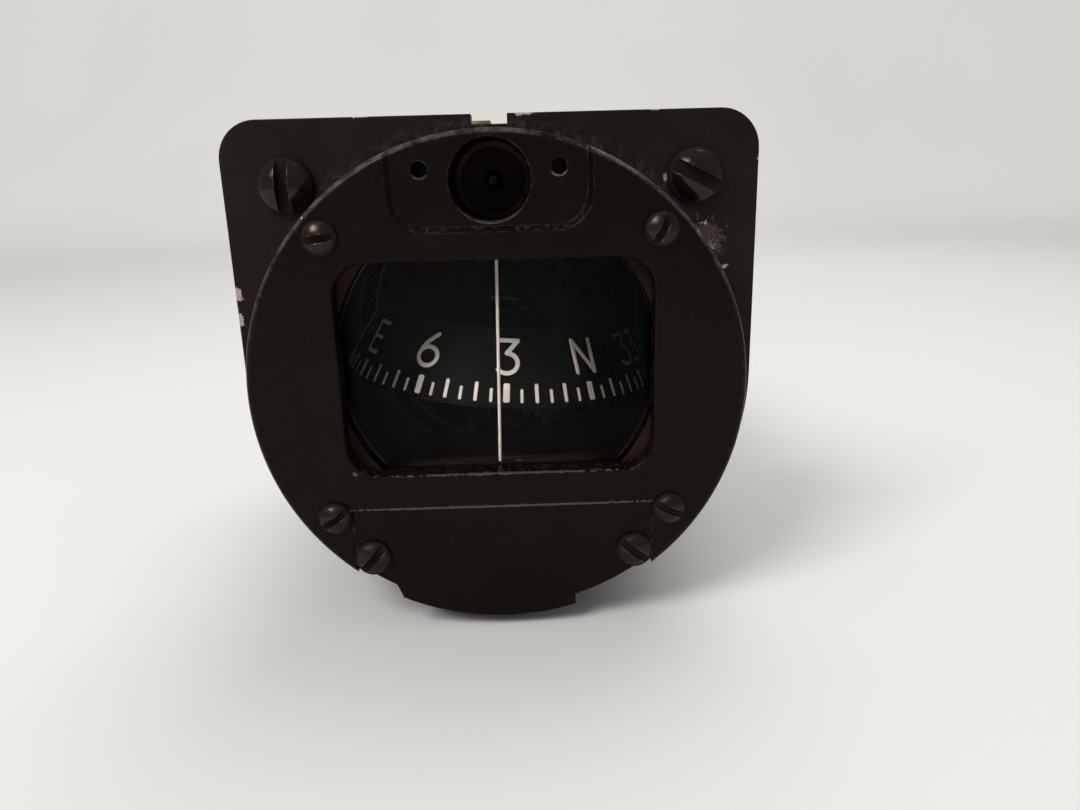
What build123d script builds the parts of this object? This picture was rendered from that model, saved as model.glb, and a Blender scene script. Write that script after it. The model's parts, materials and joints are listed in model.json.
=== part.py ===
"""Standby magnetic compass for an aircraft panel: case, bezel, floating card and compensator.

The origin is at the centre of the flange's front face, on the bezel's axis.
+X is to the reader's right, -Y is towards the reader and +Z is up. Sizes are in millimetres.
"""

import os
from math import cos, radians, sin, sqrt, tan

from build123d import *

os.makedirs("parts", exist_ok=True)

# Clearances
fixed_fit = 0.05
running_fit = 0.05
seat_gap = 0.3

# Flange
flange_width = 82.55
flange_depth = 4.0
flange_corner_r = 6.0
foot_flat = 0.275
notch_width = 5.5
notch_depth = 1.5

# Case
case_inset = 2.1
case_wall = 2.3
rear_rim_depth = 4.0
rear_rim_width = 5.3
keel_width = 24.0
keel_end_gap = 12.0
boss_r = 3.2
boss_length = 5.0

# Bezel and window
bezel_inset = 2.375
bezel_depth = 8.0
bezel_edge_r = 1.0
window_side = 14.6
window_top_gap = 4.1
window_low_gap = 5.5
window_corner_r = 5.0
window_edge_r = 0.4
glass_side_land = 3.8
glass_top_land = 3.2
glass_depth = 3.0
glass_clearance = 0.3
front_gasket_depth = 0.4
rear_gasket_depth = 1.0
gasket_land = 2.2
gasket_land_height = 2.6
aperture_step = 0.6

# Lubber line
lubber_d = 0.5
lubber_end_drop = 0.4
lubber_lean = 1.2
lubber_gap = 0.15
lubber_clip_width = 3.2
lubber_clip_height = 1.8

# Lamp housing
lamp_inset = 7.3
lamp_r = 6.1
lamp_sleeve_wall = 1.0
lamp_sleeve_length = 12.0
lamp_boss_wall = 1.45
lamp_boss_length = 15.0
lamp_bore_depth = 9.0
insulator_r = 5.2
insulator_depth = 2.0
contact_r = 1.5
contact_stem_r = 0.75
contact_edge = 0.4
contact_rise = 0.8
recess_depth = 1.0
recess_half_width = 15.2
recess_drop = 7.4
recess_corner_r = 5.5
recess_slope = 40.0
lamp_cover_hole_x = 10.2
lamp_cover_hole_rise = 1.7
lamp_cover_hole_r = 1.2
lamp_cover_hole_depth = 5.0
strip_width = 2.7
strip_depth = 0.5
strip_x = -1.15
strip_length = 17.5

# Compensator cover
cover_depth = 1.6
cover_side_gap = 2.8
cover_rise = 1.7
cover_relief = 1.7
cover_lip_depth = 3.1
tongue_left = -18.0
tongue_right = 11.6
tongue_slope = 0.4
cover_clearance = 0.12

# Screws
widest_slot = 2.0
deepest_slot = 1.9
slot_width_share = 0.45
slot_depth_share = 0.6
round_head_edge = 0.35
flat_head_edge = 0.8
bezel_screw_turns = [8, 62, 35, -24]
upper_screw_inset = 4.1
upper_screw_angle = 43.6
lower_screw_inset = 5.12
lower_screw_side_gap = 2.8
bezel_screw_head_r = 2.6
bezel_screw_head_h = 1.7
bezel_screw_r = 1.2
bezel_screw_grip = 6.0
cover_screw_turns = [48, -38]
cover_screw_inset = 4.13
cover_screw_side_gap = 3.2
cover_screw_head_r = 2.9
cover_screw_head_h = 1.7
cover_screw_r = 1.2
cover_screw_grip = 5.0
mounting_screw_gap = 1.25
mounting_screw_angles = [90, -27]
mounting_screw_head_r = 4.3
mounting_screw_head_h = 3.4
mounting_screw_r = 1.75
mounting_screw_stand_out = 6.5
mounting_screw_thread = 0.12
insert_r = 3.0
insert_stand_out = 1.5
small_screw_head_r = 1.4
small_screw_head_h = 0.9
small_screw_r = 0.8
small_screw_grip = 3.0
small_screw_angle = 30
block_screw_head_r = 1.1

# Rear end
rear_screw_count = 8
rear_screw_head_r = 1.9
rear_screw_head_h = 1.4
rear_screw_r = 1.0
rear_screw_grip = 3.0
rear_screw_turn = 41
rear_end_gasket_depth = 0.8
diaphragm_depth = 0.4
diaphragm_wave = 0.8
diaphragm_waves = 4
diaphragm_flat = 3.5
diaphragm_wave_inner_r = 9.0
rear_cover_wall = 1.2
rear_cover_rise = 5.6
rear_cover_dish_gap = 0.5
rear_cover_slope = 3.0
vent_r = 1.5

# Filler plug
filler_end_gap = 18.0
filler_z = 8.0
filler_boss_r = 5.0
filler_boss_rise = 2.5
filler_r = 2.5
filler_length = 4.0
filler_head_r = 3.6
filler_head_depth = 1.3
filler_angle = 20
filler_washer_depth = 0.4

# Card
pivot_rise = 19.5
card_lean = 4.8
card_heading = 32.8
card_side_room = 3.6
card_front_room = 1.1
card_back_room = 5.1
card_drop = 7.2
card_height = 11.9
card_half_angle = 28.0
card_wall = 0.6
web_depth = 0.6
web_boss_r = 4.5
web_boss_depth = 1.1
float_r = 14.0
float_bore_r = 5.5
float_height = 6.2
float_edge_r = 1.0
magnet_r = 1.5
magnet_length = 34.0
magnet_x = 8.0
magnet_drop = 8.0
bridge_depth = 0.6
bridge_r = 12.5
bridge_leg_y = 10.0
bridge_leg_width = 4.4
bridge_leg_depth = 2.0
bridge_leg_wall = 0.9

# Pivot, jewel and post
pin_r = 0.6
pin_tip_r = 0.08
pin_tip_gap = 0.12
pin_half_angle = 20.0
pin_length = 6.2
hub_r = 2.0
hub_flange_r = 3.2
hub_flange_depth = 1.0
hub_nut_r = 3.1
hub_nut_depth = 0.9
hub_nut_sides = 6
hub_play = 0.1
jewel_r = 1.6
jewel_flat = 0.9
jewel_cup_r = 0.9
jewel_lip = 0.5
holder_r = 2.2
holder_length = 8.2
holder_shoulder_r = 2.6
holder_shoulder_depth = 1.1
collar_depth = 2.1
post_wall = 1.15
post_base_r = 8.0
post_base_depth = 2.0
post_screw_x = 6.0
spring_turns = 5
spring_wire_r = 0.2
spring_length = 6.0

# Compensator
floor_rise = 9.4
floor_depth = 3.2
wheel_side_room = 1.4
cavity_wall = 2.5
cavity_length = 26.0
cavity_shell = 2.0
pedestal_half_width = 9.0
pedestal_edge = 1.0
block_end = 2.2
block_height = 8.9
block_depth = 4.0
block_plug_depth = 1.0
block_side_gap = 1.825
block_screw_end = 1.1
block_screw_rise = 1.1
block_clearance = 0.3
opening_corner_r = 1.0
spindle_x = 8.2
spindle_slot_width = 0.8
spindle_slot_depth = 0.9
spindle_r = 1.5
spindle_head_r = 2.6
spindle_head_depth = 1.5
pinion_teeth = 8
wheel_teeth = 24
gear_pitch_r = 5.7
gear_tooth_width = 0.45
gear_addendum = 0.4
gear_dedendum = 0.55
gear_face = 1.0
pinion_length = 1.2
pinion_gap = 0.7
wheel_rim = 0.2
wheel_disc_depth = 1.65
arbor_r = 0.8
spacer_r = 1.6
wheel_play = 0.15
trim_magnet_r = 0.5
trim_magnet_length = 8.4
trim_magnet_x = 2.8
frame_plate = 1.0
frame_side_gap = 1.0
frame_low_half_width = 11.5

# Radii and heights of the case and bezel, which follow from the flange
flange_half = flange_width / 2
foot_z = foot_flat - flange_half
notch_floor_z = flange_half - notch_depth
bezel_r = flange_half - bezel_inset
relief_r = bezel_r - cover_relief
case_r = bezel_r - case_inset
inner_r = case_r - case_wall
wall_mid_r = case_r - case_wall / 2
cavity_r = case_r - cavity_shell
rear_opening_r = case_r - rear_rim_width
rear_screw_pitch_r = case_r - rear_rim_width / 2
rear_cover_dish_r = rear_opening_r - rear_cover_dish_gap
rear_cover_top_r = rear_cover_dish_r - rear_cover_slope
diaphragm_wave_outer_r = rear_opening_r - diaphragm_flat
filler_boss_x = case_r + filler_boss_rise

# The compensator lies as low as the bezel's relief lets its block
wheel_r = gear_pitch_r + gear_face / 2 + wheel_rim
cavity_half_width = spindle_x + wheel_r + wheel_side_room
frame_half_width = cavity_half_width - frame_side_gap
block_half_width = cavity_half_width + block_end
block_screw_x = cavity_half_width + block_screw_end
inner_block_half_width = cavity_half_width + cavity_wall
spindle_z = block_height / 2 - sqrt(relief_r**2 - (block_half_width + block_side_gap) ** 2)
block_screw_z = spindle_z + block_screw_rise
floor_z = spindle_z + floor_rise
cavity_top_z = floor_z - floor_depth
pivot_z = floor_z + pivot_rise

# Lamp above, compensator cover below, and the window between them
lamp_z = bezel_r - lamp_inset
lamp_cover_hole_z = lamp_z + lamp_cover_hole_rise
recess_low_z = lamp_z - recess_drop
cover_top_z = cavity_top_z + cover_rise
window_low_z = cover_top_z + window_low_gap
window_top_z = recess_low_z - window_top_gap
window_width = 2 * (bezel_r - window_side)
window_height = window_top_z - window_low_z
window_z = (window_top_z + window_low_z) / 2
glass_r = window_width / 2 + glass_side_land
glass_half_height = window_height / 2 + glass_top_land
gasket_r = glass_r - gasket_land
gasket_half_height = glass_half_height - gasket_land_height
aperture_r = gasket_r + aperture_step
aperture_half_height = gasket_half_height + aperture_step
lubber_end_z = window_low_z - lubber_end_drop
lamp_sleeve_r = lamp_r + lamp_sleeve_wall
lamp_pocket_r = lamp_sleeve_r + fixed_fit
lamp_boss_r = lamp_pocket_r + lamp_boss_wall

# Screws of the bezel, the compensator cover and the panel
upper_screw_x = (bezel_r - upper_screw_inset) * cos(radians(upper_screw_angle))
upper_screw_z = (bezel_r - upper_screw_inset) * sin(radians(upper_screw_angle))
cover_screw_x = block_half_width + cover_screw_side_gap
cover_screw_z = -sqrt((bezel_r - cover_screw_inset) ** 2 - cover_screw_x**2)
cover_half_width = cover_screw_x + cover_side_gap
lower_screw_x = cover_half_width + lower_screw_side_gap
lower_screw_z = -sqrt((bezel_r - lower_screw_inset) ** 2 - lower_screw_x**2)
bezel_screw_points = [
    (-upper_screw_x, upper_screw_z),
    (upper_screw_x, upper_screw_z),
    (-lower_screw_x, lower_screw_z),
    (lower_screw_x, lower_screw_z),
]
cover_screw_points = [(-cover_screw_x, cover_screw_z), (cover_screw_x, cover_screw_z)]
mounting_half = (bezel_r + mounting_screw_head_r + mounting_screw_gap) / sqrt(2)
mounting_neck_r = mounting_screw_r - mounting_screw_thread
insert_back = flange_depth + insert_stand_out
tongue_root_z = -sqrt(relief_r**2 - tongue_left**2)

# Depths along Y, from the front to the back
bezel_face = -bezel_depth
recess_floor = bezel_face + recess_depth
cover_seat = bezel_face + cover_depth
glass_back = -rear_gasket_depth
glass_front = glass_back - glass_depth
pocket_floor = glass_front - front_gasket_depth
lamp_boss_back = flange_depth + lamp_boss_length
cavity_back = cavity_length
inner_block_back = cavity_back + cavity_wall
card_r = inner_r - card_side_room
pivot_y = card_r + card_front_room
pedestal_back = pivot_y + post_base_r + pedestal_edge
case_back = pivot_y + card_r + card_back_room
rim_front = case_back - rear_rim_depth
filler_y = case_back - filler_end_gap
gasket_back = case_back + rear_end_gasket_depth
diaphragm_back = gasket_back + diaphragm_depth
cover_rim_back = diaphragm_back + rear_cover_wall


# Rectangles that hang below their place, or stand on it
hanging = (Align.CENTER, Align.MAX)
standing = (Align.CENTER, Align.MIN)


def facing(y, x=0, z=0):
    """Plane at depth y that faces the reader, with local x to the right and local y up."""
    return Plane(origin=(x, y, z), x_dir=(1, 0, 0), z_dir=(0, -1, 0))


def backing(y, x=0, z=0):
    """Plane at depth y that faces away from the reader, with local y up."""
    return Plane(origin=(x, y, z), x_dir=(-1, 0, 0), z_dir=(0, 1, 0))


def rising(z, x=0, y=0):
    """Level plane at height z that faces up."""
    return Plane(origin=(x, y, z), x_dir=(1, 0, 0), z_dir=(0, 0, 1))


def sideways(x, y=0, z=0):
    """Upright plane at x that faces +X."""
    return Plane(origin=(x, y, z), x_dir=(0, 1, 0), z_dir=(1, 0, 0))


def section_of(plane):
    """Plane through another plane's normal: local x is its radius and local y its height."""
    return Plane(plane.origin, x_dir=plane.x_dir, z_dir=-plane.y_dir)


def turn(plane, *outline, mode=Mode.ADD):
    """Revolve an outline of (radius, height) points about the plane's normal."""
    with BuildSketch(section_of(plane)) as half:
        with BuildLine():
            Polyline(*outline, close=True)
        make_face()
    revolve(half.sketch, axis=Axis(plane.origin, plane.z_dir), mode=mode)


def tube(plane, outer_r, inner_r, length, mode=Mode.ADD):
    """Straight tube, or a rod where inner_r is 0, that stands on the plane."""
    with BuildSketch(plane) as ring:
        Circle(outer_r)
        if inner_r:
            Circle(inner_r, mode=Mode.SUBTRACT)
    extrude(ring.sketch, amount=length, mode=mode)


def screw(plane, head_r, head_h, shank_r, shank_length, slot_angle, head_edge=round_head_edge):
    """Slotted round-head screw whose head sits on the plane."""
    edge_h = head_h * head_edge
    with BuildSketch(section_of(plane)) as half:
        with BuildLine():
            Polyline(
                (head_r, edge_h),
                (head_r, 0),
                (shank_r, 0),
                (shank_r, -shank_length),
                (0, -shank_length),
                (0, head_h),
            )
            TangentArc((0, head_h), (head_r, edge_h), tangent=(1, 0))
        make_face()
    revolve(half.sketch, axis=Axis(plane.origin, plane.z_dir))
    slot_depth = min(deepest_slot, head_h * slot_depth_share)
    with BuildSketch(plane.offset(head_h)) as slot:
        Rectangle(3 * head_r, min(widest_slot, head_r * slot_width_share), rotation=slot_angle)
    extrude(slot.sketch, amount=-slot_depth, mode=Mode.SUBTRACT)


def barrel(radius, half_height):
    """Round outline about the window's centre, cut level above and below."""
    with BuildSketch(Plane.XY) as outline:
        with Locations((0, window_z)):
            Circle(radius)
            Rectangle(2 * radius, 2 * half_height, mode=Mode.INTERSECT)
    return outline.sketch


def half_disc_below(radius, half_width, top_z):
    """The part of a disc below top_z and within half_width of its middle."""
    with BuildSketch(Plane.XY) as outline:
        Circle(radius)
        with Locations((0, top_z)):
            Rectangle(2 * half_width, 2 * radius, align=hanging, mode=Mode.INTERSECT)
    return outline.sketch


def rear_screw_holes(plane, depth):
    """Cut the ring of rear screw holes into the part in hand."""
    with BuildSketch(plane) as holes:
        with PolarLocations(rear_screw_pitch_r, rear_screw_count, start_angle=180 / rear_screw_count):
            Circle(rear_screw_r + fixed_fit)
    extrude(holes.sketch, amount=depth, mode=Mode.SUBTRACT)


def save(part, name):
    """Label a finished piece and write its file."""
    part.label = name
    export_step(part, f"parts/{name}.step")


glass_outline = barrel(glass_r, glass_half_height)
gasket_opening = barrel(gasket_r, gasket_half_height)
aperture = barrel(aperture_r, aperture_half_height)
pocket_outline = barrel(glass_r + glass_clearance, glass_half_height + glass_clearance)

# Case: one casting with the flange, the bowl, the lamp boss, the keel and the inner blocks
with BuildPart() as case:
    with BuildSketch(facing(flange_depth)):
        Circle(flange_half)
        with Locations((0, 0)):
            Rectangle(flange_width, flange_half, align=standing)
        fillet(vertices().group_by(Axis.Y)[-1], flange_corner_r)
        with Locations((0, flange_half)):
            Rectangle(notch_width, 2 * notch_depth, mode=Mode.SUBTRACT)
        with Locations((0, -flange_half)):
            Rectangle(flange_width, 2 * foot_flat, mode=Mode.SUBTRACT)
    extrude(amount=flange_depth)
    tube(facing(case_back), case_r, 0, case_back - flange_depth)
    with BuildSketch(facing(lamp_boss_back)):
        with Locations((0, lamp_z)):
            Circle(lamp_boss_r)
        with Locations((0, flange_half)):
            Rectangle(2 * lamp_boss_r, 2 * notch_depth, mode=Mode.SUBTRACT)
    extrude(amount=lamp_boss_length)
    with BuildSketch(rising(foot_z)):
        with Locations((0, flange_depth)):
            Rectangle(keel_width, case_back - flange_depth - keel_end_gap, align=standing)
    extrude(amount=-foot_z - inner_r)
    tube(sideways(0, filler_y, filler_z), filler_boss_r, 0, filler_boss_x)
    # Inside of the bowl
    with BuildSketch(facing(rim_front)):
        Circle(inner_r)
    extrude(amount=rim_front - flange_depth, mode=Mode.SUBTRACT)
    with BuildSketch(facing(case_back)):
        Circle(rear_opening_r)
    extrude(amount=rear_rim_depth, mode=Mode.SUBTRACT)
    # Blocks inside the bowl: lamp housing, screw bosses, compensator housing and card pedestal
    with BuildSketch(facing(lamp_boss_back)):
        with Locations((0, lamp_z)):
            Circle(lamp_boss_r)
            Rectangle(2 * lamp_boss_r, lamp_boss_r, align=standing)
        Circle(wall_mid_r, mode=Mode.INTERSECT)
    extrude(amount=lamp_boss_length)
    with BuildSketch(facing(flange_depth + boss_length)):
        with Locations(*bezel_screw_points):
            Circle(boss_r)
        Circle(wall_mid_r, mode=Mode.INTERSECT)
    extrude(amount=boss_length)
    with BuildSketch(facing(inner_block_back)):
        add(half_disc_below(wall_mid_r, inner_block_half_width, floor_z))
    extrude(amount=inner_block_back - flange_depth)
    with BuildSketch(facing(pedestal_back)):
        add(half_disc_below(wall_mid_r, pedestal_half_width, floor_z))
    extrude(amount=pedestal_back - inner_block_back)
    # Openings
    with BuildSketch(facing(flange_depth)):
        add(aperture)
    extrude(amount=flange_depth, mode=Mode.SUBTRACT)
    with BuildSketch(facing(cavity_back)):
        add(half_disc_below(cavity_r, cavity_half_width, cavity_top_z))
    extrude(amount=cavity_back, mode=Mode.SUBTRACT)
    tube(facing(lamp_sleeve_length, 0, lamp_z), lamp_pocket_r, 0, lamp_sleeve_length, mode=Mode.SUBTRACT)
    # Screw holes
    with BuildSketch(facing(bezel_screw_grip + seat_gap)):
        with Locations(*bezel_screw_points):
            Circle(bezel_screw_r + fixed_fit)
    extrude(amount=bezel_screw_grip + seat_gap, mode=Mode.SUBTRACT)
    with BuildSketch(facing(flange_depth)):
        with Locations((-mounting_half, mounting_half), (mounting_half, mounting_half)):
            Circle(insert_r)
    extrude(amount=flange_depth, mode=Mode.SUBTRACT)
    with BuildSketch(facing(small_screw_grip + seat_gap)):
        with Locations((-block_screw_x, block_screw_z), (block_screw_x, block_screw_z)):
            Circle(small_screw_r + fixed_fit)
    extrude(amount=small_screw_grip + seat_gap, mode=Mode.SUBTRACT)
    rear_screw_holes(backing(case_back), -rear_screw_grip - seat_gap)
    with BuildSketch(rising(floor_z, 0, pivot_y)):
        with Locations((-post_screw_x, 0), (post_screw_x, 0)):
            Circle(small_screw_r + fixed_fit)
    extrude(amount=-small_screw_grip, mode=Mode.SUBTRACT)
    with BuildSketch(rising(notch_floor_z, strip_x, lamp_boss_back - small_screw_grip)):
        Circle(small_screw_r + fixed_fit)
    extrude(amount=-small_screw_grip, mode=Mode.SUBTRACT)
    tube(sideways(0, filler_y, filler_z), filler_r + fixed_fit, 0, 2 * case_r, mode=Mode.SUBTRACT)
save(case.part, "case")

# Bezel: a round plate with the window, the lamp hole and the seat of the compensator cover
with BuildPart() as bezel:
    with BuildSketch(facing(0)):
        Circle(bezel_r)
    extrude(amount=bezel_depth)
    fillet(edges().group_by(Axis.Y)[0], bezel_edge_r)
    with BuildSketch(facing(pocket_floor)):
        with Locations((0, window_z)):
            RectangleRounded(window_width, window_height, window_corner_r)
    extrude(amount=pocket_floor - bezel_face, mode=Mode.SUBTRACT)
    front_edges = edges().filter_by_position(Axis.Y, bezel_face, bezel_face)
    fillet(front_edges.sort_by(SortBy.LENGTH)[:-1], window_edge_r)
    with BuildSketch(facing(0)):
        add(pocket_outline)
    extrude(amount=-pocket_floor, mode=Mode.SUBTRACT)
    # Lamp hole and the shallow recess of the lamp cover
    tube(facing(0, 0, lamp_z), lamp_r, 0, bezel_depth, mode=Mode.SUBTRACT)
    with BuildSketch(facing(recess_floor)):
        recess_shrink = recess_depth * tan(radians(recess_slope))
        with Locations((0, recess_low_z + recess_shrink)):
            Rectangle(2 * (recess_half_width - recess_shrink), bezel_r, align=standing)
        fillet(vertices().group_by(Axis.Y)[0], recess_corner_r - recess_shrink)
    extrude(amount=recess_depth, taper=-recess_slope, mode=Mode.SUBTRACT)
    with BuildSketch(facing(recess_floor + lamp_cover_hole_depth)):
        with Locations((-lamp_cover_hole_x, lamp_cover_hole_z), (lamp_cover_hole_x, lamp_cover_hole_z)):
            Circle(lamp_cover_hole_r)
    extrude(amount=lamp_cover_hole_depth, mode=Mode.SUBTRACT)
    # Seat, relief and opening of the compensator cover
    with BuildSketch(facing(cover_seat)):
        add(half_disc_below(2 * bezel_r, cover_half_width + cover_clearance, cover_top_z + cover_clearance))
    extrude(amount=cover_depth, mode=Mode.SUBTRACT)
    with BuildSketch(facing(cover_seat + cover_lip_depth + cover_clearance)):
        add(half_disc_below(2 * bezel_r, cover_half_width + cover_clearance, cover_top_z))
        Circle(relief_r - cover_clearance, mode=Mode.SUBTRACT)
    extrude(amount=cover_lip_depth + cover_clearance, mode=Mode.SUBTRACT)
    with BuildSketch(facing(0)):
        with Locations((0, spindle_z + block_height / 2 + block_clearance)):
            Rectangle(
                2 * (block_half_width + block_clearance),
                block_height + 2 * block_clearance,
                align=hanging,
            )
        fillet(vertices(), opening_corner_r)
    extrude(amount=-cover_seat, mode=Mode.SUBTRACT)
    # Screw holes
    with BuildSketch(facing(0)):
        with Locations(*bezel_screw_points):
            Circle(bezel_screw_r + fixed_fit)
    extrude(amount=bezel_depth, mode=Mode.SUBTRACT)
    with BuildSketch(facing(cover_seat + cover_screw_grip + seat_gap)):
        with Locations(*cover_screw_points):
            Circle(cover_screw_r + fixed_fit)
    extrude(amount=cover_screw_grip + seat_gap, mode=Mode.SUBTRACT)
save(bezel.part, "bezel")

# Glass and its two gaskets
with BuildPart() as glass:
    with BuildSketch(facing(glass_back)):
        add(glass_outline)
    extrude(amount=glass_depth)
save(glass.part, "glass")

with BuildPart() as front_gasket:
    with BuildSketch(facing(glass_front)):
        add(glass_outline)
        add(gasket_opening, mode=Mode.SUBTRACT)
    extrude(amount=front_gasket_depth)
save(front_gasket.part, "front_gasket")

clip_low_z = window_z + gasket_half_height + seat_gap
clip_high_z = clip_low_z + lubber_clip_height
clip_slot_width = lubber_clip_width + 2 * fixed_fit
clip_slot_height = clip_high_z - window_z
with BuildPart() as rear_gasket:
    with BuildSketch(facing(0)):
        add(glass_outline)
        add(gasket_opening, mode=Mode.SUBTRACT)
        with Locations((0, clip_high_z + fixed_fit)):
            Rectangle(clip_slot_width, clip_slot_height, align=hanging, mode=Mode.SUBTRACT)
    extrude(amount=rear_gasket_depth)
save(rear_gasket.part, "rear_gasket")

# Lubber line: a thin rod in a clip above the opening, free at its lower end and leaning a little
lubber_y = glass_back + lubber_gap + lubber_d / 2
lubber_top_z = clip_high_z - seat_gap
lubber_slope = radians(lubber_lean)
lubber_foot = Plane(
    origin=((lubber_end_z - window_z) * tan(lubber_slope), lubber_y, lubber_end_z),
    x_dir=(cos(lubber_slope), 0, -sin(lubber_slope)),
    z_dir=(sin(lubber_slope), 0, cos(lubber_slope)),
)
lubber_length = (lubber_top_z - lubber_end_z) / cos(lubber_slope)
with BuildPart() as lubber_line:
    tube(lubber_foot, lubber_d / 2, 0, lubber_length)
save(lubber_line.part, "lubber_line")

with BuildPart() as lubber_clip:
    with BuildSketch(facing(0)):
        with Locations((0, clip_low_z)):
            Rectangle(lubber_clip_width, lubber_clip_height, align=standing)
    extrude(amount=rear_gasket_depth - fixed_fit)
    tube(lubber_foot, lubber_d / 2, 0, lubber_length, mode=Mode.SUBTRACT)
save(lubber_clip.part, "lubber_clip")

# Screws of the bezel and of the compensator cover
with BuildPart() as bezel_screws:
    for (x, z), angle in zip(bezel_screw_points, bezel_screw_turns):
        screw(
            facing(bezel_face, x, z),
            bezel_screw_head_r,
            bezel_screw_head_h,
            bezel_screw_r,
            bezel_depth + bezel_screw_grip,
            angle,
        )
save(bezel_screws.part, "bezel_screws")

with BuildPart() as cover_screws:
    for (x, z), angle in zip(cover_screw_points, cover_screw_turns):
        screw(
            facing(bezel_face, x, z),
            cover_screw_head_r,
            cover_screw_head_h,
            cover_screw_r,
            cover_depth + cover_screw_grip,
            angle,
        )
save(cover_screws.part, "cover_screws")

# Compensator cover: a flush plate with a tongue that turns back over the rim
with BuildPart() as compensator_cover:
    with BuildSketch(facing(cover_seat)):
        add(half_disc_below(relief_r, cover_half_width, cover_top_z))
    extrude(amount=cover_depth)
    with BuildSketch(facing(cover_seat + cover_lip_depth)):
        Circle(bezel_r)
        Circle(relief_r, mode=Mode.SUBTRACT)
        with BuildLine():
            Polyline(
                (tongue_left + tongue_slope * (tongue_root_z - cover_top_z), cover_top_z),
                (tongue_left + tongue_slope * (tongue_root_z + 2 * bezel_r), -2 * bezel_r),
                (tongue_right, -2 * bezel_r),
                (tongue_right, cover_top_z),
                close=True,
            )
        make_face(mode=Mode.INTERSECT)
    extrude(amount=cover_lip_depth + cover_depth)
    with BuildSketch(facing(cover_seat)):
        with Locations(*cover_screw_points):
            Circle(cover_screw_r + fixed_fit)
    extrude(amount=cover_depth, mode=Mode.SUBTRACT)
save(compensator_cover.part, "compensator_cover")

# Mounting screws in brass inserts in the flange's two corners
with BuildPart() as mounting_screws:
    for x, angle in zip((-mounting_half, mounting_half), mounting_screw_angles):
        screw(
            facing(0, x, mounting_half),
            mounting_screw_head_r,
            mounting_screw_head_h,
            mounting_neck_r,
            insert_back,
            angle,
        )
        tube(backing(insert_back, x, mounting_half), mounting_screw_r, 0, mounting_screw_stand_out)
save(mounting_screws.part, "mounting_screws")

with BuildPart() as mounting_inserts:
    for x in (-mounting_half, mounting_half):
        tube(facing(insert_back, x, mounting_half), insert_r, mounting_neck_r + fixed_fit, insert_back)
save(mounting_inserts.part, "mounting_inserts")

# Lamp housing: a brass sleeve, an insulating disc, a spring contact and the earth strip
with BuildPart() as lamp_sleeve:
    tube(facing(lamp_sleeve_length, 0, lamp_z), lamp_sleeve_r, insulator_r + fixed_fit, lamp_sleeve_length)
    tube(facing(lamp_bore_depth, 0, lamp_z), lamp_r, 0, lamp_bore_depth, mode=Mode.SUBTRACT)
save(lamp_sleeve.part, "lamp_sleeve")

with BuildPart() as lamp_insulator:
    tube(facing(lamp_sleeve_length, 0, lamp_z), insulator_r, contact_stem_r, insulator_depth)
save(lamp_insulator.part, "lamp_insulator")

with BuildPart() as lamp_contact:
    contact_plane = facing(lamp_sleeve_length - insulator_depth, 0, lamp_z)
    turn(
        contact_plane,
        (0, -insulator_depth),
        (contact_stem_r - fixed_fit, -insulator_depth),
        (contact_stem_r - fixed_fit, 0),
        (contact_r, 0),
        (contact_r, contact_edge),
        (contact_stem_r, contact_rise),
        (0, contact_rise),
    )
save(lamp_contact.part, "lamp_contact")

with BuildPart() as earth_strip:
    with BuildSketch(rising(notch_floor_z)):
        with Locations((strip_x, lamp_boss_back - small_screw_grip / 2)):
            Rectangle(strip_width, strip_length, align=hanging)
    extrude(amount=strip_depth)
    tube(
        rising(notch_floor_z, strip_x, lamp_boss_back - small_screw_grip),
        small_screw_r + fixed_fit,
        0,
        strip_depth,
        mode=Mode.SUBTRACT,
    )
save(earth_strip.part, "earth_strip")

with BuildPart() as earth_screw:
    screw(
        rising(notch_floor_z + strip_depth, strip_x, lamp_boss_back - small_screw_grip),
        small_screw_head_r,
        small_screw_head_h,
        small_screw_r,
        strip_depth + small_screw_grip - seat_gap,
        small_screw_angle,
    )
save(earth_screw.part, "earth_screw")

# Filler plug and washer on the right side
filler_seat = sideways(filler_boss_x, filler_y, filler_z)
with BuildPart() as filler_washer:
    tube(filler_seat, filler_head_r, filler_r + fixed_fit, filler_washer_depth)
save(filler_washer.part, "filler_washer")

with BuildPart() as filler_plug:
    screw(
        filler_seat.offset(filler_washer_depth),
        filler_head_r,
        filler_head_depth,
        filler_r,
        filler_washer_depth + filler_length,
        filler_angle,
        flat_head_edge,
    )
save(filler_plug.part, "filler_plug")

# Rear end: gasket, corrugated diaphragm, dished cover and screws
rear_ring_plane = backing(case_back)
with BuildPart() as rear_end_gasket:
    tube(rear_ring_plane, case_r, rear_opening_r, rear_end_gasket_depth)
    rear_screw_holes(rear_ring_plane, rear_end_gasket_depth)
save(rear_end_gasket.part, "rear_end_gasket")

wave_step = (diaphragm_wave_outer_r - diaphragm_wave_inner_r) / (2 * diaphragm_waves)
wave_points = [
    (diaphragm_wave_outer_r - step * wave_step, diaphragm_wave * (step % 2))
    for step in range(2 * diaphragm_waves + 1)
]
with BuildPart() as diaphragm:
    turn(
        backing(gasket_back),
        (case_r, 0),
        *wave_points,
        (0, 0),
        (0, diaphragm_depth),
        *[(r, h + diaphragm_depth) for r, h in reversed(wave_points)],
        (case_r, diaphragm_depth),
    )
    rear_screw_holes(backing(gasket_back), diaphragm_depth)
save(diaphragm.part, "diaphragm")

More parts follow.
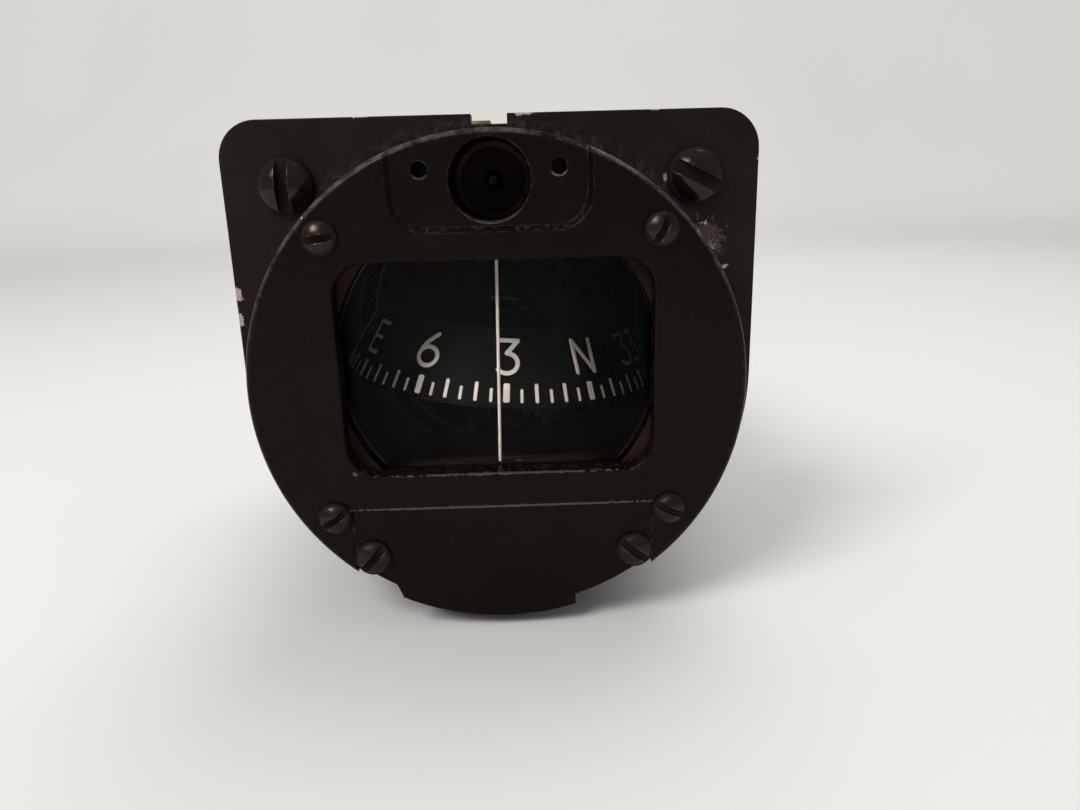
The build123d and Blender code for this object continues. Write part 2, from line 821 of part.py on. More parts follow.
with BuildPart() as rear_cover:
    rise = rear_cover_wall + rear_cover_rise
    turn(
        backing(diaphragm_back),
        (case_r, 0),
        (case_r, rear_cover_wall),
        (rear_cover_dish_r, rear_cover_wall),
        (rear_cover_top_r, rise),
        (vent_r, rise),
        (vent_r, rise - rear_cover_wall),
        (rear_cover_top_r - rear_cover_wall, rise - rear_cover_wall),
        (rear_cover_dish_r - rear_cover_wall, 0),
    )
    rear_screw_holes(backing(diaphragm_back), rear_cover_wall)
save(rear_cover.part, "rear_cover")

with BuildPart() as rear_screws:
    for index in range(rear_screw_count):
        turned = radians(360 * (index + 0.5) / rear_screw_count)
        screw(
            backing(cover_rim_back, rear_screw_pitch_r * cos(turned), rear_screw_pitch_r * sin(turned)),
            rear_screw_head_r,
            rear_screw_head_h,
            rear_screw_r,
            cover_rim_back - case_back + rear_screw_grip,
            rear_screw_turn * index,
        )
save(rear_screws.part, "rear_screws")

# Card axes: the card leans to one side and shows a heading
lean = radians(card_lean)
heading = radians(card_heading)
pivot = (0, pivot_y, pivot_z)
card_plane = Plane(
    origin=pivot,
    x_dir=(cos(heading) * cos(lean), sin(heading), -cos(heading) * sin(lean)),
    z_dir=(sin(lean), 0, cos(lean)),
)
card_top = card_height - card_drop
card_top_r = card_r - card_height * tan(radians(card_half_angle))
card_side = card_wall / cos(radians(card_half_angle))
float_low = card_top - float_height
bridge_low = float_low - bridge_depth

# Card: a conical skirt that carries the marks, a web, a float and two magnets on a bridge
with BuildPart() as card_skirt:
    turn(
        card_plane,
        (card_r, -card_drop),
        (card_top_r, card_top),
        (card_top_r - card_side, card_top),
        (card_r - card_side, -card_drop),
    )
save(card_skirt.part, "card_skirt")

with BuildPart() as card_web:
    turn(
        card_plane,
        (hub_r + running_fit, card_top),
        (card_top_r, card_top),
        (card_top_r, card_top + web_depth),
        (web_boss_r, card_top + web_depth),
        (web_boss_r, card_top + web_boss_depth),
        (hub_r + running_fit, card_top + web_boss_depth),
    )
save(card_web.part, "card_web")

with BuildPart() as card_float:
    tube(card_plane.offset(float_low), float_r, float_bore_r, float_height)
    fillet(edges().filter_by(GeomType.CIRCLE).sort_by(SortBy.RADIUS)[-2:], float_edge_r)
save(card_float.part, "card_float")

with BuildPart() as card_magnets:
    for x in (-magnet_x, magnet_x):
        magnet_end = card_plane.from_local_coords((x, magnet_length / 2, -magnet_drop))
        tube(Plane(magnet_end, x_dir=card_plane.x_dir, z_dir=-card_plane.y_dir), magnet_r, 0, magnet_length)
save(card_magnets.part, "card_magnets")

with BuildPart() as magnet_bridge:
    tube(card_plane.offset(bridge_low), bridge_r + bridge_leg_depth, float_bore_r, bridge_depth)
    leg_low = -magnet_drop - magnet_r - bridge_leg_wall
    with BuildSketch(card_plane.offset(leg_low)):
        with GridLocations(2 * magnet_x, 2 * bridge_leg_y, 2, 2):
            Rectangle(bridge_leg_width, bridge_leg_depth)
    extrude(amount=bridge_low - leg_low)
    for x in (-magnet_x, magnet_x):
        magnet_end = card_plane.from_local_coords((x, magnet_length / 2, -magnet_drop))
        tube(
            Plane(magnet_end, x_dir=card_plane.x_dir, z_dir=-card_plane.y_dir),
            magnet_r + fixed_fit,
            0,
            magnet_length,
            mode=Mode.SUBTRACT,
        )
save(magnet_bridge.part, "magnet_bridge")

# Pivot: a hard pin in a hub on which the card turns, kept by a nut
hub_top = card_top + web_boss_depth + 2 * hub_play + hub_nut_depth
cone_length = (pin_r - pin_tip_r) / tan(radians(pin_half_angle))
with BuildPart() as pivot_pin:
    turn(
        card_plane,
        (0, pin_tip_gap),
        (pin_tip_r, pin_tip_gap),
        (pin_r, pin_tip_gap + cone_length),
        (pin_r, pin_length),
        (0, pin_length),
    )
save(pivot_pin.part, "pivot_pin")

with BuildPart() as pivot_hub:
    hub_seat = card_top - hub_play
    turn(
        card_plane,
        (pin_r + fixed_fit / 2, hub_seat - hub_flange_depth),
        (hub_flange_r, hub_seat - hub_flange_depth),
        (hub_flange_r, hub_seat),
        (hub_r, hub_seat),
        (hub_r, hub_top),
        (0, hub_top),
        (0, pin_length),
        (pin_r + fixed_fit / 2, pin_length),
    )
save(pivot_hub.part, "pivot_hub")

with BuildPart() as hub_nut:
    with BuildSketch(card_plane.offset(hub_top - hub_nut_depth)):
        RegularPolygon(hub_nut_r, hub_nut_sides)
        Circle(hub_r, mode=Mode.SUBTRACT)
    extrude(amount=hub_nut_depth)
save(hub_nut.part, "hub_nut")

# Jewel: a ball cut flat, with a cup for the pin, in the spherical seat of a sprung holder
with BuildPart() as jewel:
    with BuildSketch(section_of(rising(pivot_z, 0, pivot_y))):
        with BuildLine():
            flat_r = sqrt(jewel_r**2 - jewel_flat**2)
            Polyline(
                (0, -jewel_r),
                (0, jewel_flat - jewel_cup_r),
                (jewel_cup_r, jewel_flat),
                (flat_r, jewel_flat),
            )
            ThreePointArc((flat_r, jewel_flat), (jewel_r, 0), (0, -jewel_r))
        make_face()
    revolve(axis=Axis(pivot, (0, 0, 1)))
save(jewel.part, "jewel")

holder_low_z = pivot_z - holder_length + 2 * hub_play
shoulder_top_z = holder_low_z + holder_shoulder_depth
with BuildPart() as jewel_holder:
    turn(
        rising(holder_low_z, 0, pivot_y),
        (0, 0),
        (holder_shoulder_r, 0),
        (holder_shoulder_r, holder_shoulder_depth),
        (holder_r, holder_shoulder_depth),
        (holder_r, pivot_z + jewel_lip - holder_low_z),
        (0, pivot_z + jewel_lip - holder_low_z),
    )
    with Locations(pivot):
        Sphere(jewel_r + running_fit, mode=Mode.SUBTRACT)
save(jewel_holder.part, "jewel_holder")

# Post: a column on the pedestal that holds the spring and guides the holder
post_bore_r = holder_shoulder_r + running_fit
post_r = post_bore_r + post_wall
collar_low_z = shoulder_top_z + hub_play
spring_low_z = holder_low_z - spring_length
with BuildPart() as pivot_post:
    turn(
        rising(floor_z, 0, pivot_y),
        (0, 0),
        (post_base_r, 0),
        (post_base_r, post_base_depth),
        (post_r, post_base_depth),
        (post_r, collar_low_z - floor_z),
        (post_bore_r, collar_low_z - floor_z),
        (post_bore_r, spring_low_z - floor_z),
        (0, spring_low_z - floor_z),
    )
    with BuildSketch(rising(floor_z, 0, pivot_y)):
        with Locations((-post_screw_x, 0), (post_screw_x, 0)):
            Circle(small_screw_r + fixed_fit)
    extrude(amount=post_base_depth, mode=Mode.SUBTRACT)
save(pivot_post.part, "pivot_post")

with BuildPart() as post_collar:
    tube(rising(collar_low_z, 0, pivot_y), post_r, holder_r + running_fit, collar_depth)
save(post_collar.part, "post_collar")

with BuildPart() as post_screws:
    for x in (-post_screw_x, post_screw_x):
        screw(
            rising(floor_z + post_base_depth, x, pivot_y),
            small_screw_head_r,
            small_screw_head_h,
            small_screw_r,
            post_base_depth + small_screw_grip - seat_gap,
            small_screw_angle + 10 * x,
        )
save(post_screws.part, "post_screws")

spring_lift = spring_wire_r + fixed_fit
spring_rise = spring_length - 2 * spring_lift
with BuildPart() as jewel_spring:
    with BuildLine() as spring_path:
        Helix(
            pitch=spring_rise / spring_turns,
            height=spring_rise,
            radius=post_bore_r - 2 * spring_wire_r,
            center=(0, pivot_y, spring_low_z + spring_lift),
        )
    with BuildSketch(Plane(origin=spring_path.line @ 0, z_dir=spring_path.line % 0)):
        Circle(spring_wire_r)
    sweep(path=spring_path.line)
save(jewel_spring.part, "jewel_spring")

# Compensator: a block with two spindles, and two pairs of wheels that carry trim magnets
pinion_pitch_r = gear_pitch_r * pinion_teeth / wheel_teeth
pinion_root_r = pinion_pitch_r - gear_dedendum
pinion_tip_r = pinion_pitch_r + gear_addendum
pinion_front = block_plug_depth + pinion_gap
wheel_y = pinion_front + pinion_length / 2 + gear_pitch_r
upper_low_z = spindle_z + pinion_pitch_r + gear_dedendum
upper_high_z = upper_low_z + wheel_disc_depth
lower_high_z = spindle_z - pinion_pitch_r - gear_dedendum
lower_low_z = lower_high_z - wheel_disc_depth
plate_low_z = upper_high_z + seat_gap
plate_bottom_z = lower_low_z - seat_gap
frame_front = block_plug_depth
frame_back = wheel_y + wheel_r + seat_gap + frame_plate

with BuildPart() as compensator_block:
    with BuildSketch(facing(0)):
        with Locations((0, spindle_z)):
            Rectangle(2 * block_half_width, block_height)
    extrude(amount=block_depth)
    with BuildSketch(facing(block_plug_depth)):
        add(half_disc_below(cavity_r - seat_gap, frame_half_width, plate_low_z + frame_plate))
        with Locations((0, plate_bottom_z - frame_plate)):
            Rectangle(2 * case_r, case_r, align=hanging, mode=Mode.SUBTRACT)
    extrude(amount=block_plug_depth)
    with BuildSketch(facing(block_plug_depth)):
        with Locations((-spindle_x, spindle_z), (spindle_x, spindle_z)):
            Circle(spindle_r + running_fit)
    extrude(amount=block_depth + block_plug_depth, mode=Mode.SUBTRACT)
    with BuildSketch(facing(0)):
        with Locations((-block_screw_x, block_screw_z), (block_screw_x, block_screw_z)):
            Circle(small_screw_r + fixed_fit)
    extrude(amount=block_depth, mode=Mode.SUBTRACT)
save(compensator_block.part, "compensator_block")

with BuildPart() as block_screws:
    for x in (-block_screw_x, block_screw_x):
        screw(
            facing(-block_depth, x, block_screw_z),
            block_screw_head_r,
            small_screw_head_h,
            small_screw_r,
            block_depth + small_screw_grip,
            small_screw_angle - 5 * x,
        )
save(block_screws.part, "block_screws")

with BuildPart() as compensator_frame:
    with BuildSketch(rising(plate_low_z)):
        with Locations((0, frame_front)):
            Rectangle(2 * frame_half_width, frame_back - frame_front, align=standing)
    extrude(amount=frame_plate)
    with BuildSketch(rising(plate_bottom_z - frame_plate)):
        with Locations((0, frame_front)):
            Rectangle(2 * frame_low_half_width, frame_back - frame_front, align=standing)
    extrude(amount=frame_plate)
    with BuildSketch(facing(frame_back)):
        with Locations((0, plate_low_z)):
            Rectangle(2 * frame_low_half_width, plate_low_z - plate_bottom_z, align=hanging)
    extrude(amount=frame_plate)
    with BuildSketch(rising(plate_bottom_z - frame_plate)):
        with Locations((-spindle_x, wheel_y), (spindle_x, wheel_y)):
            Circle(arbor_r)
    extrude(amount=plate_low_z - plate_bottom_z + 2 * frame_plate, mode=Mode.SUBTRACT)
save(compensator_frame.part, "compensator_frame")

with BuildPart() as wheel_arbors:
    for x in (-spindle_x, spindle_x):
        tube(
            rising(plate_bottom_z - frame_plate, x, wheel_y),
            arbor_r,
            0,
            plate_low_z - plate_bottom_z + 2 * frame_plate,
        )
save(wheel_arbors.part, "wheel_arbors")

with BuildPart() as wheel_spacers:
    for x in (-spindle_x, spindle_x):
        tube(
            rising(lower_high_z + wheel_play, x, wheel_y),
            spacer_r,
            arbor_r,
            upper_low_z - lower_high_z - 2 * wheel_play,
        )
save(wheel_spacers.part, "wheel_spacers")


def make_spindle(x, slot_angle):
    """Slotted spindle with its pinion, along Y."""
    with BuildPart() as spindle:
        journal_front = -block_depth
        turn(
            facing(journal_front - seat_gap, x, spindle_z),
            (0, spindle_head_depth),
            (spindle_head_r, spindle_head_depth),
            (spindle_head_r, 0),
            (spindle_r, 0),
            (spindle_r, journal_front - block_plug_depth - 2 * seat_gap),
            (pinion_root_r, journal_front - block_plug_depth - 2 * seat_gap),
            (pinion_root_r, journal_front - seat_gap - pinion_front - pinion_length),
            (0, journal_front - seat_gap - pinion_front - pinion_length),
        )
        with BuildSketch(facing(pinion_front + pinion_length, x, spindle_z)):
            tooth_height = pinion_tip_r - pinion_root_r + gear_dedendum
            with PolarLocations(pinion_tip_r - tooth_height / 2, pinion_teeth, start_angle=90):
                Rectangle(tooth_height, gear_tooth_width)
        extrude(amount=pinion_length)
        with BuildSketch(facing(journal_front - seat_gap - spindle_head_depth, x, spindle_z)):
            Rectangle(3 * spindle_head_r, spindle_slot_width, rotation=slot_angle)
        extrude(amount=-spindle_slot_depth, mode=Mode.SUBTRACT)
    return spindle.part


def make_wheel(x, low_z, high_z, magnet_z, tooth_base_z, tooth_height):
    """Wheel about Z with face teeth and two bores for trim magnets."""
    with BuildPart() as wheel:
        tube(rising(low_z, x, wheel_y), wheel_r, arbor_r + running_fit, high_z - low_z)
        with BuildSketch(rising(tooth_base_z, x, wheel_y)):
            with PolarLocations(gear_pitch_r, wheel_teeth, start_angle=180 / wheel_teeth - 90):
                Rectangle(gear_face, gear_tooth_width)
        extrude(amount=tooth_height)
        with BuildSketch(facing(wheel_y + wheel_r, x, magnet_z)):
            with Locations((-trim_magnet_x, 0), (trim_magnet_x, 0)):
                Circle(trim_magnet_r)
        extrude(amount=2 * wheel_r, mode=Mode.SUBTRACT)
    return wheel.part


def make_trim_magnets(x, magnet_z):
    """Two bar magnets that lie side by side in a wheel, along Y."""
    with BuildPart() as magnets:
        for side in (-trim_magnet_x, trim_magnet_x):
            tube(
                facing(wheel_y + trim_magnet_length / 2, x + side, magnet_z),
                trim_magnet_r,
                0,
                trim_magnet_length,
            )
    return magnets.part


tooth_height = gear_addendum + gear_dedendum
upper_magnet_z = upper_high_z - wheel_disc_depth / 2
lower_magnet_z = lower_low_z + wheel_disc_depth / 2
for name, x, slot_angle in (("ns", -spindle_x, 25), ("ew", spindle_x, -50)):
    save(make_spindle(x, slot_angle), f"{name}_spindle")
    save(
        make_wheel(x, upper_low_z, upper_high_z, upper_magnet_z, upper_low_z, -tooth_height),
        f"{name}_upper_wheel",
    )
    save(make_trim_magnets(x, upper_magnet_z), f"{name}_upper_magnets")
    save(
        make_wheel(x, lower_low_z, lower_high_z, lower_magnet_z, lower_high_z, tooth_height),
        f"{name}_lower_wheel",
    )
    save(make_trim_magnets(x, lower_magnet_z), f"{name}_lower_magnets")
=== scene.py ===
"""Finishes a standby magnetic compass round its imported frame: paint, metal, glass and card markings."""

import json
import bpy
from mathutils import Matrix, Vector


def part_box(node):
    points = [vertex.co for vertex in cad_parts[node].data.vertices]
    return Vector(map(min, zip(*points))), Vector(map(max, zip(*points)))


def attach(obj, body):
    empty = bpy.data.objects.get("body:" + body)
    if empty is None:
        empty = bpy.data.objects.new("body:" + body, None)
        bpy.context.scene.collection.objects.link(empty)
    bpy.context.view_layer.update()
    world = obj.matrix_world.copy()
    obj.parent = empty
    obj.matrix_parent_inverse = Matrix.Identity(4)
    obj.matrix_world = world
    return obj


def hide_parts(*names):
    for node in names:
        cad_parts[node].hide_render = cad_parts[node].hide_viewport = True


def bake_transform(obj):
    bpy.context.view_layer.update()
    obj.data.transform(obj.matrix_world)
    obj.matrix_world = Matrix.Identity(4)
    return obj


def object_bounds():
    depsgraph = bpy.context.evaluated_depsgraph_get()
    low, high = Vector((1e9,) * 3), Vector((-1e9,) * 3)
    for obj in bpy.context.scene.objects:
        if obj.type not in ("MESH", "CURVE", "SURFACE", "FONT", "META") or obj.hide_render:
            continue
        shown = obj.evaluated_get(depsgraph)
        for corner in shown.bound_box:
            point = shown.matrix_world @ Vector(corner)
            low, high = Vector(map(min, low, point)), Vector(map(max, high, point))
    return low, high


bl_info = {
    "name": "Standby compass",
    "version": (1, 0, 0),
    "blender": (4, 5, 0),
    "location": "View3D > Sidebar > Compass",
    "description": "Paint, metal, glass, card markings and studio for a panel compass",
    "category": "Add Mesh",
}

from math import asin, atan2, cos, radians, sin, tan

import bmesh
import bpy
from bpy.props import FloatProperty, FloatVectorProperty, IntProperty, PointerProperty
from mathutils import Euler, Matrix, Vector

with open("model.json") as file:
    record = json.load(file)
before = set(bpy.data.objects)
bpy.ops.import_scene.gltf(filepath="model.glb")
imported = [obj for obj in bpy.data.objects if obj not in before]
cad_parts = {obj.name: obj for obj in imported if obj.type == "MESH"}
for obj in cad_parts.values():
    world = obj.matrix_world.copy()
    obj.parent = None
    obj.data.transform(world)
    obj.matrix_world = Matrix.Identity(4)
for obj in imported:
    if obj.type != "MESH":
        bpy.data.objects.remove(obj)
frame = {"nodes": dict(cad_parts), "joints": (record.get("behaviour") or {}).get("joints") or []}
cad_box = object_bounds()

MM = 0.001
PHOTO_WIDTH = 1080
SENSOR_WIDTH = 36.0


def joint(name):
    """The frame's joint of that name."""
    return next(j for j in frame["joints"] if j["name"] == name)


CARD_PIVOT = Vector(joint("card_turn")["pos_m"])
CARD_AXIS = Vector(joint("card_turn")["axis"]).normalized()


# Settings

def length_property(label, text, millimetres):
    """A length setting, given in millimetres and kept in metres."""
    return FloatProperty(name=label, description=text, default=millimetres * MM, unit="LENGTH", precision=5)


def colour_property(label, text, colour):
    """A colour setting."""
    return FloatVectorProperty(name=label, description=text, default=colour, subtype="COLOR", min=0, max=1)


def share_property(label, text, value):
    """A setting between nothing and all."""
    return FloatProperty(name=label, description=text, default=value, min=0, max=1, subtype="FACTOR")


def angle_property(label, text, degrees):
    """An angle setting, given in degrees and kept in radians."""
    return FloatProperty(name=label, description=text, default=radians(degrees), subtype="ANGLE")


class CompassCardSettings(bpy.types.PropertyGroup):
    """Sizes of the card's marks and numerals."""

    heading: angle_property("Heading", "How far the card stands turned from north at rest", 32.8)
    half_angle: angle_property("Skirt half angle", "Slope of the skirt against the card's axis", 28.0)
    edge_radius: length_property("Skirt edge radius", "Radius of the skirt's lower edge", 30.9)
    edge_drop: length_property("Skirt edge drop", "How far the skirt's lower edge hangs below the pivot", 7.2)
    ticks_drop: length_property("Tick circle drop", "How far the ticks' lower ends lie below the pivot", 6.3)
    five_length: length_property("Five degree tick length", "Length of the smallest ticks", 2.35)
    five_width: length_property("Five degree tick width", "Width of the smallest ticks", 0.5)
    ten_length: length_property("Ten degree tick length", "Length of the ten degree ticks", 3.3)
    ten_width: length_property("Ten degree tick width", "Width of the ten degree ticks", 0.6)
    thirty_length: length_property("Thirty degree tick length", "Length of the widest ticks", 3.3)
    thirty_width: length_property("Thirty degree tick width", "Width of the widest ticks", 1.1)
    film: length_property("Paint thickness", "How far the marks stand off the skirt", 0.06)
    numeral_gap: length_property("Numeral gap", "Space between the ticks and the numerals", 1.5)
    numeral_height: length_property("Numeral height", "Height of the numerals along the slope", 6.3)
    stroke: length_property("Stroke width", "Width of the numerals' strokes", 0.78)
    letter_space: length_property("Letter space", "Space between the figures of one numeral", 1.0)


class CompassPaintSettings(bpy.types.PropertyGroup):
    """Colours of the paints, metals and other finishes."""

    case_paint: colour_property("Case paint", "Satin black of the casting", (0.0080, 0.0042, 0.0026))
    bezel_paint: colour_property("Bezel paint", "Black of the bezel and its cover", (0.0042, 0.0019, 0.0010))
    bare_metal: colour_property("Bare metal", "Aluminium where the paint is gone", (0.46, 0.37, 0.35))
    dust: colour_property("Dust", "Dust on what faces up", (0.30, 0.24, 0.20))
    dark_steel: colour_property("Dark steel", "Blackened steel of the screws", (0.055, 0.040, 0.032))
    bright_steel: colour_property("Bright steel", "Steel where the blacking is rubbed off", (0.40, 0.34, 0.30))
    brass: colour_property("Brass", "Clean brass", (0.66, 0.46, 0.19))
    tarnish: colour_property("Tarnish", "Brass where it has darkened", (0.22, 0.13, 0.06))
    blacked: colour_property("Blacked brass", "Brass that was blacked before it was fitted", (0.030, 0.021, 0.014))
    gasket: colour_property("Gasket", "Brown composition of the gaskets", (0.022, 0.0095, 0.006))
    marks: colour_property("Marks", "Off-white of the card's marks and the line", (0.80, 0.68, 0.62))
    card: colour_property("Card", "Matt black of the card", (0.0022, 0.0018, 0.0016))


class CompassStageSettings(bpy.types.PropertyGroup):
    """Floor, lamps and camera."""

    floor: colour_property("Floor", "Colour of the floor and backdrop", (0.80, 0.79, 0.77))
    floor_width: FloatProperty(name="Floor width", description="Width of the floor", default=3.2, unit="LENGTH")
    backdrop_back: FloatProperty(
        name="Backdrop distance", description="How far back the floor turns up", default=1.0, unit="LENGTH"
    )
    key_power: FloatProperty(name="Key lamp", description="Strength of the key lamp in watts", default=5.0)
    top_power: FloatProperty(name="Top lamp", description="Strength of the top lamp in watts", default=3.0)
    fill: FloatProperty(name="Fill", description="Brightness of the room", default=0.4)
    camera_place: FloatVectorProperty(
        name="Camera place", description="Where the camera stands", default=(0.0049, -0.1282, 0.0313), unit="LENGTH"
    )
    camera_yaw: angle_property("Camera yaw", "Turn of the camera to the left", -0.75)
    camera_pitch: angle_property("Camera pitch", "How far the camera looks down", 15.66)
    camera_roll: angle_property("Camera roll", "Tilt of the camera", -1.56)
    focal: FloatProperty(name="Focal length", description="In pixels of the photograph's width", default=800.0)


# Helpers for node trees

def add_node(tree, kind, inputs=None, **settings):
    """Add a node, set its settings, and set or link its inputs by name or number."""
    made = tree.nodes.new(kind)
    for key, value in settings.items():
        setattr(made, key, value)
    for key, value in (inputs or {}).items():
        if isinstance(value, bpy.types.NodeSocket):
            tree.links.new(value, made.inputs[key])
        else:
            made.inputs[key].default_value = value
    return made


def sum_up(tree, operation, *values):
    """A Math node's result."""
    return add_node(tree, "ShaderNodeMath", dict(enumerate(values)), operation=operation).outputs[0]


def ramp(tree, value, low, high, to_low=0.0, to_high=1.0):
    """A value's range carried over to another range, smoothly and without overshoot."""
    inputs = {"Value": value, "From Min": low, "From Max": high, "To Min": to_low, "To Max": to_high}
    made = add_node(tree, "ShaderNodeMapRange", inputs, interpolation_type="SMOOTHSTEP")
    return made.outputs[0]


def mix_colour(tree, share, first, second):
    """Two colours mixed."""
    made = add_node(tree, "ShaderNodeMix", {0: share, 6: first, 7: second}, data_type="RGBA")
    return made.outputs[2]


def mix_value(tree, share, first, second):
    """Two values mixed."""
    made = add_node(tree, "ShaderNodeMix", {0: share, 2: first, 3: second}, data_type="FLOAT")
    return made.outputs[0]


def noise(tree, vector, size, detail=4.0, rough=0.55):
    """Noise whose lumps are about that size, in metres."""
    inputs = {"Vector": vector, "Scale": 1 / size, "Detail": detail, "Roughness": rough}
    return add_node(tree, "ShaderNodeTexNoise", inputs).outputs["Fac"]


def four(colour):
    """A colour with full alpha."""
    return (*colour, 1.0)


def new_group(name, kind, inputs, outputs):
    """A node group with its sockets, and its input and output nodes."""
    tree = bpy.data.node_groups.new(name, kind)
    for label, socket, default in inputs:
        made = tree.interface.new_socket(label, in_out="INPUT", socket_type=socket)
        if default is not None:
            made.default_value = default
    for label, socket in outputs:
        tree.interface.new_socket(label, in_out="OUTPUT", socket_type=socket)
    return tree, tree.nodes.new("NodeGroupInput"), tree.nodes.new("NodeGroupOutput")


FLOAT, COLOUR, VECTOR = "NodeSocketFloat", "NodeSocketColor", "NodeSocketVector"
SHADER_TREE, SHAPE_TREE = "ShaderNodeTree", "GeometryNodeTree"


# Shared surface effects

def film_group():
    """Fine unevenness of a paint or metal film: tone, roughness and height."""
    tree, into, out = new_group(
        "Film unevenness",
        SHADER_TREE,
        [
            ("Vector", VECTOR, None),
            ("Grain", FLOAT, 0.0006),
            ("Cloud", FLOAT, 0.012),
            ("Roughness", FLOAT, 0.4),
            ("Spread", FLOAT, 0.1),
        ],
        [("Tone", FLOAT), ("Roughness", FLOAT), ("Height", FLOAT)],
    )
    grain = add_node(tree, "ShaderNodeTexNoise", {"Vector": into.outputs["Vector"], "Detail": 3.0})
    cloud = add_node(tree, "ShaderNodeTexNoise", {"Vector": into.outputs["Vector"], "Detail": 5.0})
    tree.links.new(sum_up(tree, "DIVIDE", 1.0, into.outputs["Grain"]), grain.inputs["Scale"])
    tree.links.new(sum_up(tree, "DIVIDE", 1.0, into.outputs["Cloud"]), cloud.inputs["Scale"])
    uneven = sum_up(tree, "SUBTRACT", cloud.outputs["Fac"], 0.5)
    spread = sum_up(tree, "MULTIPLY", uneven, sum_up(tree, "MULTIPLY", into.outputs["Spread"], 4.0))
    tree.links.new(ramp(tree, cloud.outputs["Fac"], 0.3, 0.7), out.inputs["Tone"])
    tree.links.new(sum_up(tree, "ADD", into.outputs["Roughness"], spread), out.inputs["Roughness"])
    tree.links.new(grain.outputs["Fac"], out.inputs["Height"])
    return tree


def edge_group():
    """Worn edges: a mask of the edges, broken up by noise, and the softened normal."""
    tree, into, out = new_group(
        "Edge wear",
        SHADER_TREE,
        [
            ("Vector", VECTOR, None),
            ("Radius", FLOAT, 0.0003),
            ("Breakup", FLOAT, 0.002),
            ("Reach", FLOAT, 0.5),
        ],
        [("Mask", FLOAT), ("Normal", VECTOR)],
    )
    soft = add_node(tree, "ShaderNodeBevel", {"Radius": into.outputs["Radius"]}, samples=6)
    plain = tree.nodes.new("ShaderNodeNewGeometry")
    inputs = {0: soft.outputs["Normal"], 1: plain.outputs["Normal"]}
    near = add_node(tree, "ShaderNodeVectorMath", inputs, operation="DOT_PRODUCT").outputs["Value"]
    bend = sum_up(tree, "SUBTRACT", 1.0, near)
    breakup = add_node(tree, "ShaderNodeTexNoise", {"Vector": into.outputs["Vector"], "Detail": 6.0, "Roughness": 0.7})
    tree.links.new(sum_up(tree, "DIVIDE", 1.0, into.outputs["Breakup"]), breakup.inputs["Scale"])
    gate = ramp(tree, breakup.outputs["Fac"], sum_up(tree, "SUBTRACT", 0.92, into.outputs["Reach"]), 0.75)
    edge = ramp(tree, bend, 0.03, 0.2)
    tree.links.new(sum_up(tree, "MULTIPLY", edge, gate), out.inputs["Mask"])
    tree.links.new(soft.outputs["Normal"], out.inputs["Normal"])
    return tree


def chip_group():
    """One chipped or rubbed place, or a painted highlight: a mask round a centre, ragged at its rim."""
    tree, into, out = new_group(
        "Chipped place",
        SHADER_TREE,
        [
            ("Vector", VECTOR, None),
            ("Centre", VECTOR, (0, 0, 0)),
            ("Size", VECTOR, (0.002, 0.002, 0.002)),
            ("Breakup", FLOAT, 0.0015),
            ("Cover", FLOAT, 0.5),
        ],
        [("Mask", FLOAT)],
    )
    away = add_node(
        tree, "ShaderNodeVectorMath", {0: into.outputs["Vector"], 1: into.outputs["Centre"]}, operation="SUBTRACT"
    )
    scaled = add_node(
        tree, "ShaderNodeVectorMath", {0: away.outputs[0], 1: into.outputs["Size"]}, operation="DIVIDE"
    )
    reach = add_node(tree, "ShaderNodeVectorMath", {0: scaled.outputs[0]}, operation="LENGTH").outputs["Value"]
    breakup = add_node(tree, "ShaderNodeTexNoise", {"Vector": into.outputs["Vector"], "Detail": 5.0, "Roughness": 0.65})
    tree.links.new(sum_up(tree, "DIVIDE", 1.0, into.outputs["Breakup"]), breakup.inputs["Scale"])
    inside = sum_up(tree, "SUBTRACT", 1.0, reach)
    level = sum_up(tree, "ADD", sum_up(tree, "MULTIPLY", inside, 0.45), breakup.outputs["Fac"])
    edge = sum_up(tree, "SUBTRACT", 1.25, into.outputs["Cover"])
    mask = ramp(tree, level, edge, sum_up(tree, "ADD", edge, 0.05))
    tree.links.new(sum_up(tree, "MULTIPLY", mask, ramp(tree, reach, 1.25, 0.95)), out.inputs["Mask"])
    return tree


def ring_group():
    """A band round the Y axis, between two radii and above a height, faded at its sides and broken by noise."""
    tree, into, out = new_group(
        "Band round the bezel",
        SHADER_TREE,
        [
            ("Vector", VECTOR, None),
            ("Inner", FLOAT, 0.038),
            ("Outer", FLOAT, 0.039),
            ("Fade", FLOAT, 0.0005),
            ("Low", FLOAT, 0.0),
            ("High", FLOAT, 0.02),
            ("Breakup", FLOAT, 0.002),
            ("Reach", FLOAT, 0.5),
        ],
        [("Mask", FLOAT)],
    )
    value = into.outputs
    parts = add_node(tree, "ShaderNodeSeparateXYZ", {0: value["Vector"]}).outputs
    across = sum_up(tree, "MULTIPLY", parts["X"], parts["X"])
    up = sum_up(tree, "MULTIPLY", parts["Z"], parts["Z"])
    away = sum_up(tree, "SQRT", sum_up(tree, "ADD", across, up))
    inside = ramp(tree, away, sum_up(tree, "SUBTRACT", value["Inner"], value["Fade"]), value["Inner"])
    outside = ramp(tree, away, value["Outer"], sum_up(tree, "ADD", value["Outer"], value["Fade"]), 1.0, 0.0)
    height = ramp(tree, parts["Z"], value["Low"], value["High"])
    breakup = add_node(tree, "ShaderNodeTexNoise", {"Vector": value["Vector"], "Detail": 6.0, "Roughness": 0.7})
    tree.links.new(sum_up(tree, "DIVIDE", 1.0, value["Breakup"]), breakup.inputs["Scale"])
    gate = ramp(tree, breakup.outputs["Fac"], sum_up(tree, "SUBTRACT", 0.85, value["Reach"]), 0.75)
    band = sum_up(tree, "MULTIPLY", inside, outside)
    tree.links.new(sum_up(tree, "MULTIPLY", sum_up(tree, "MULTIPLY", band, height), gate), out.inputs["Mask"])
    return tree


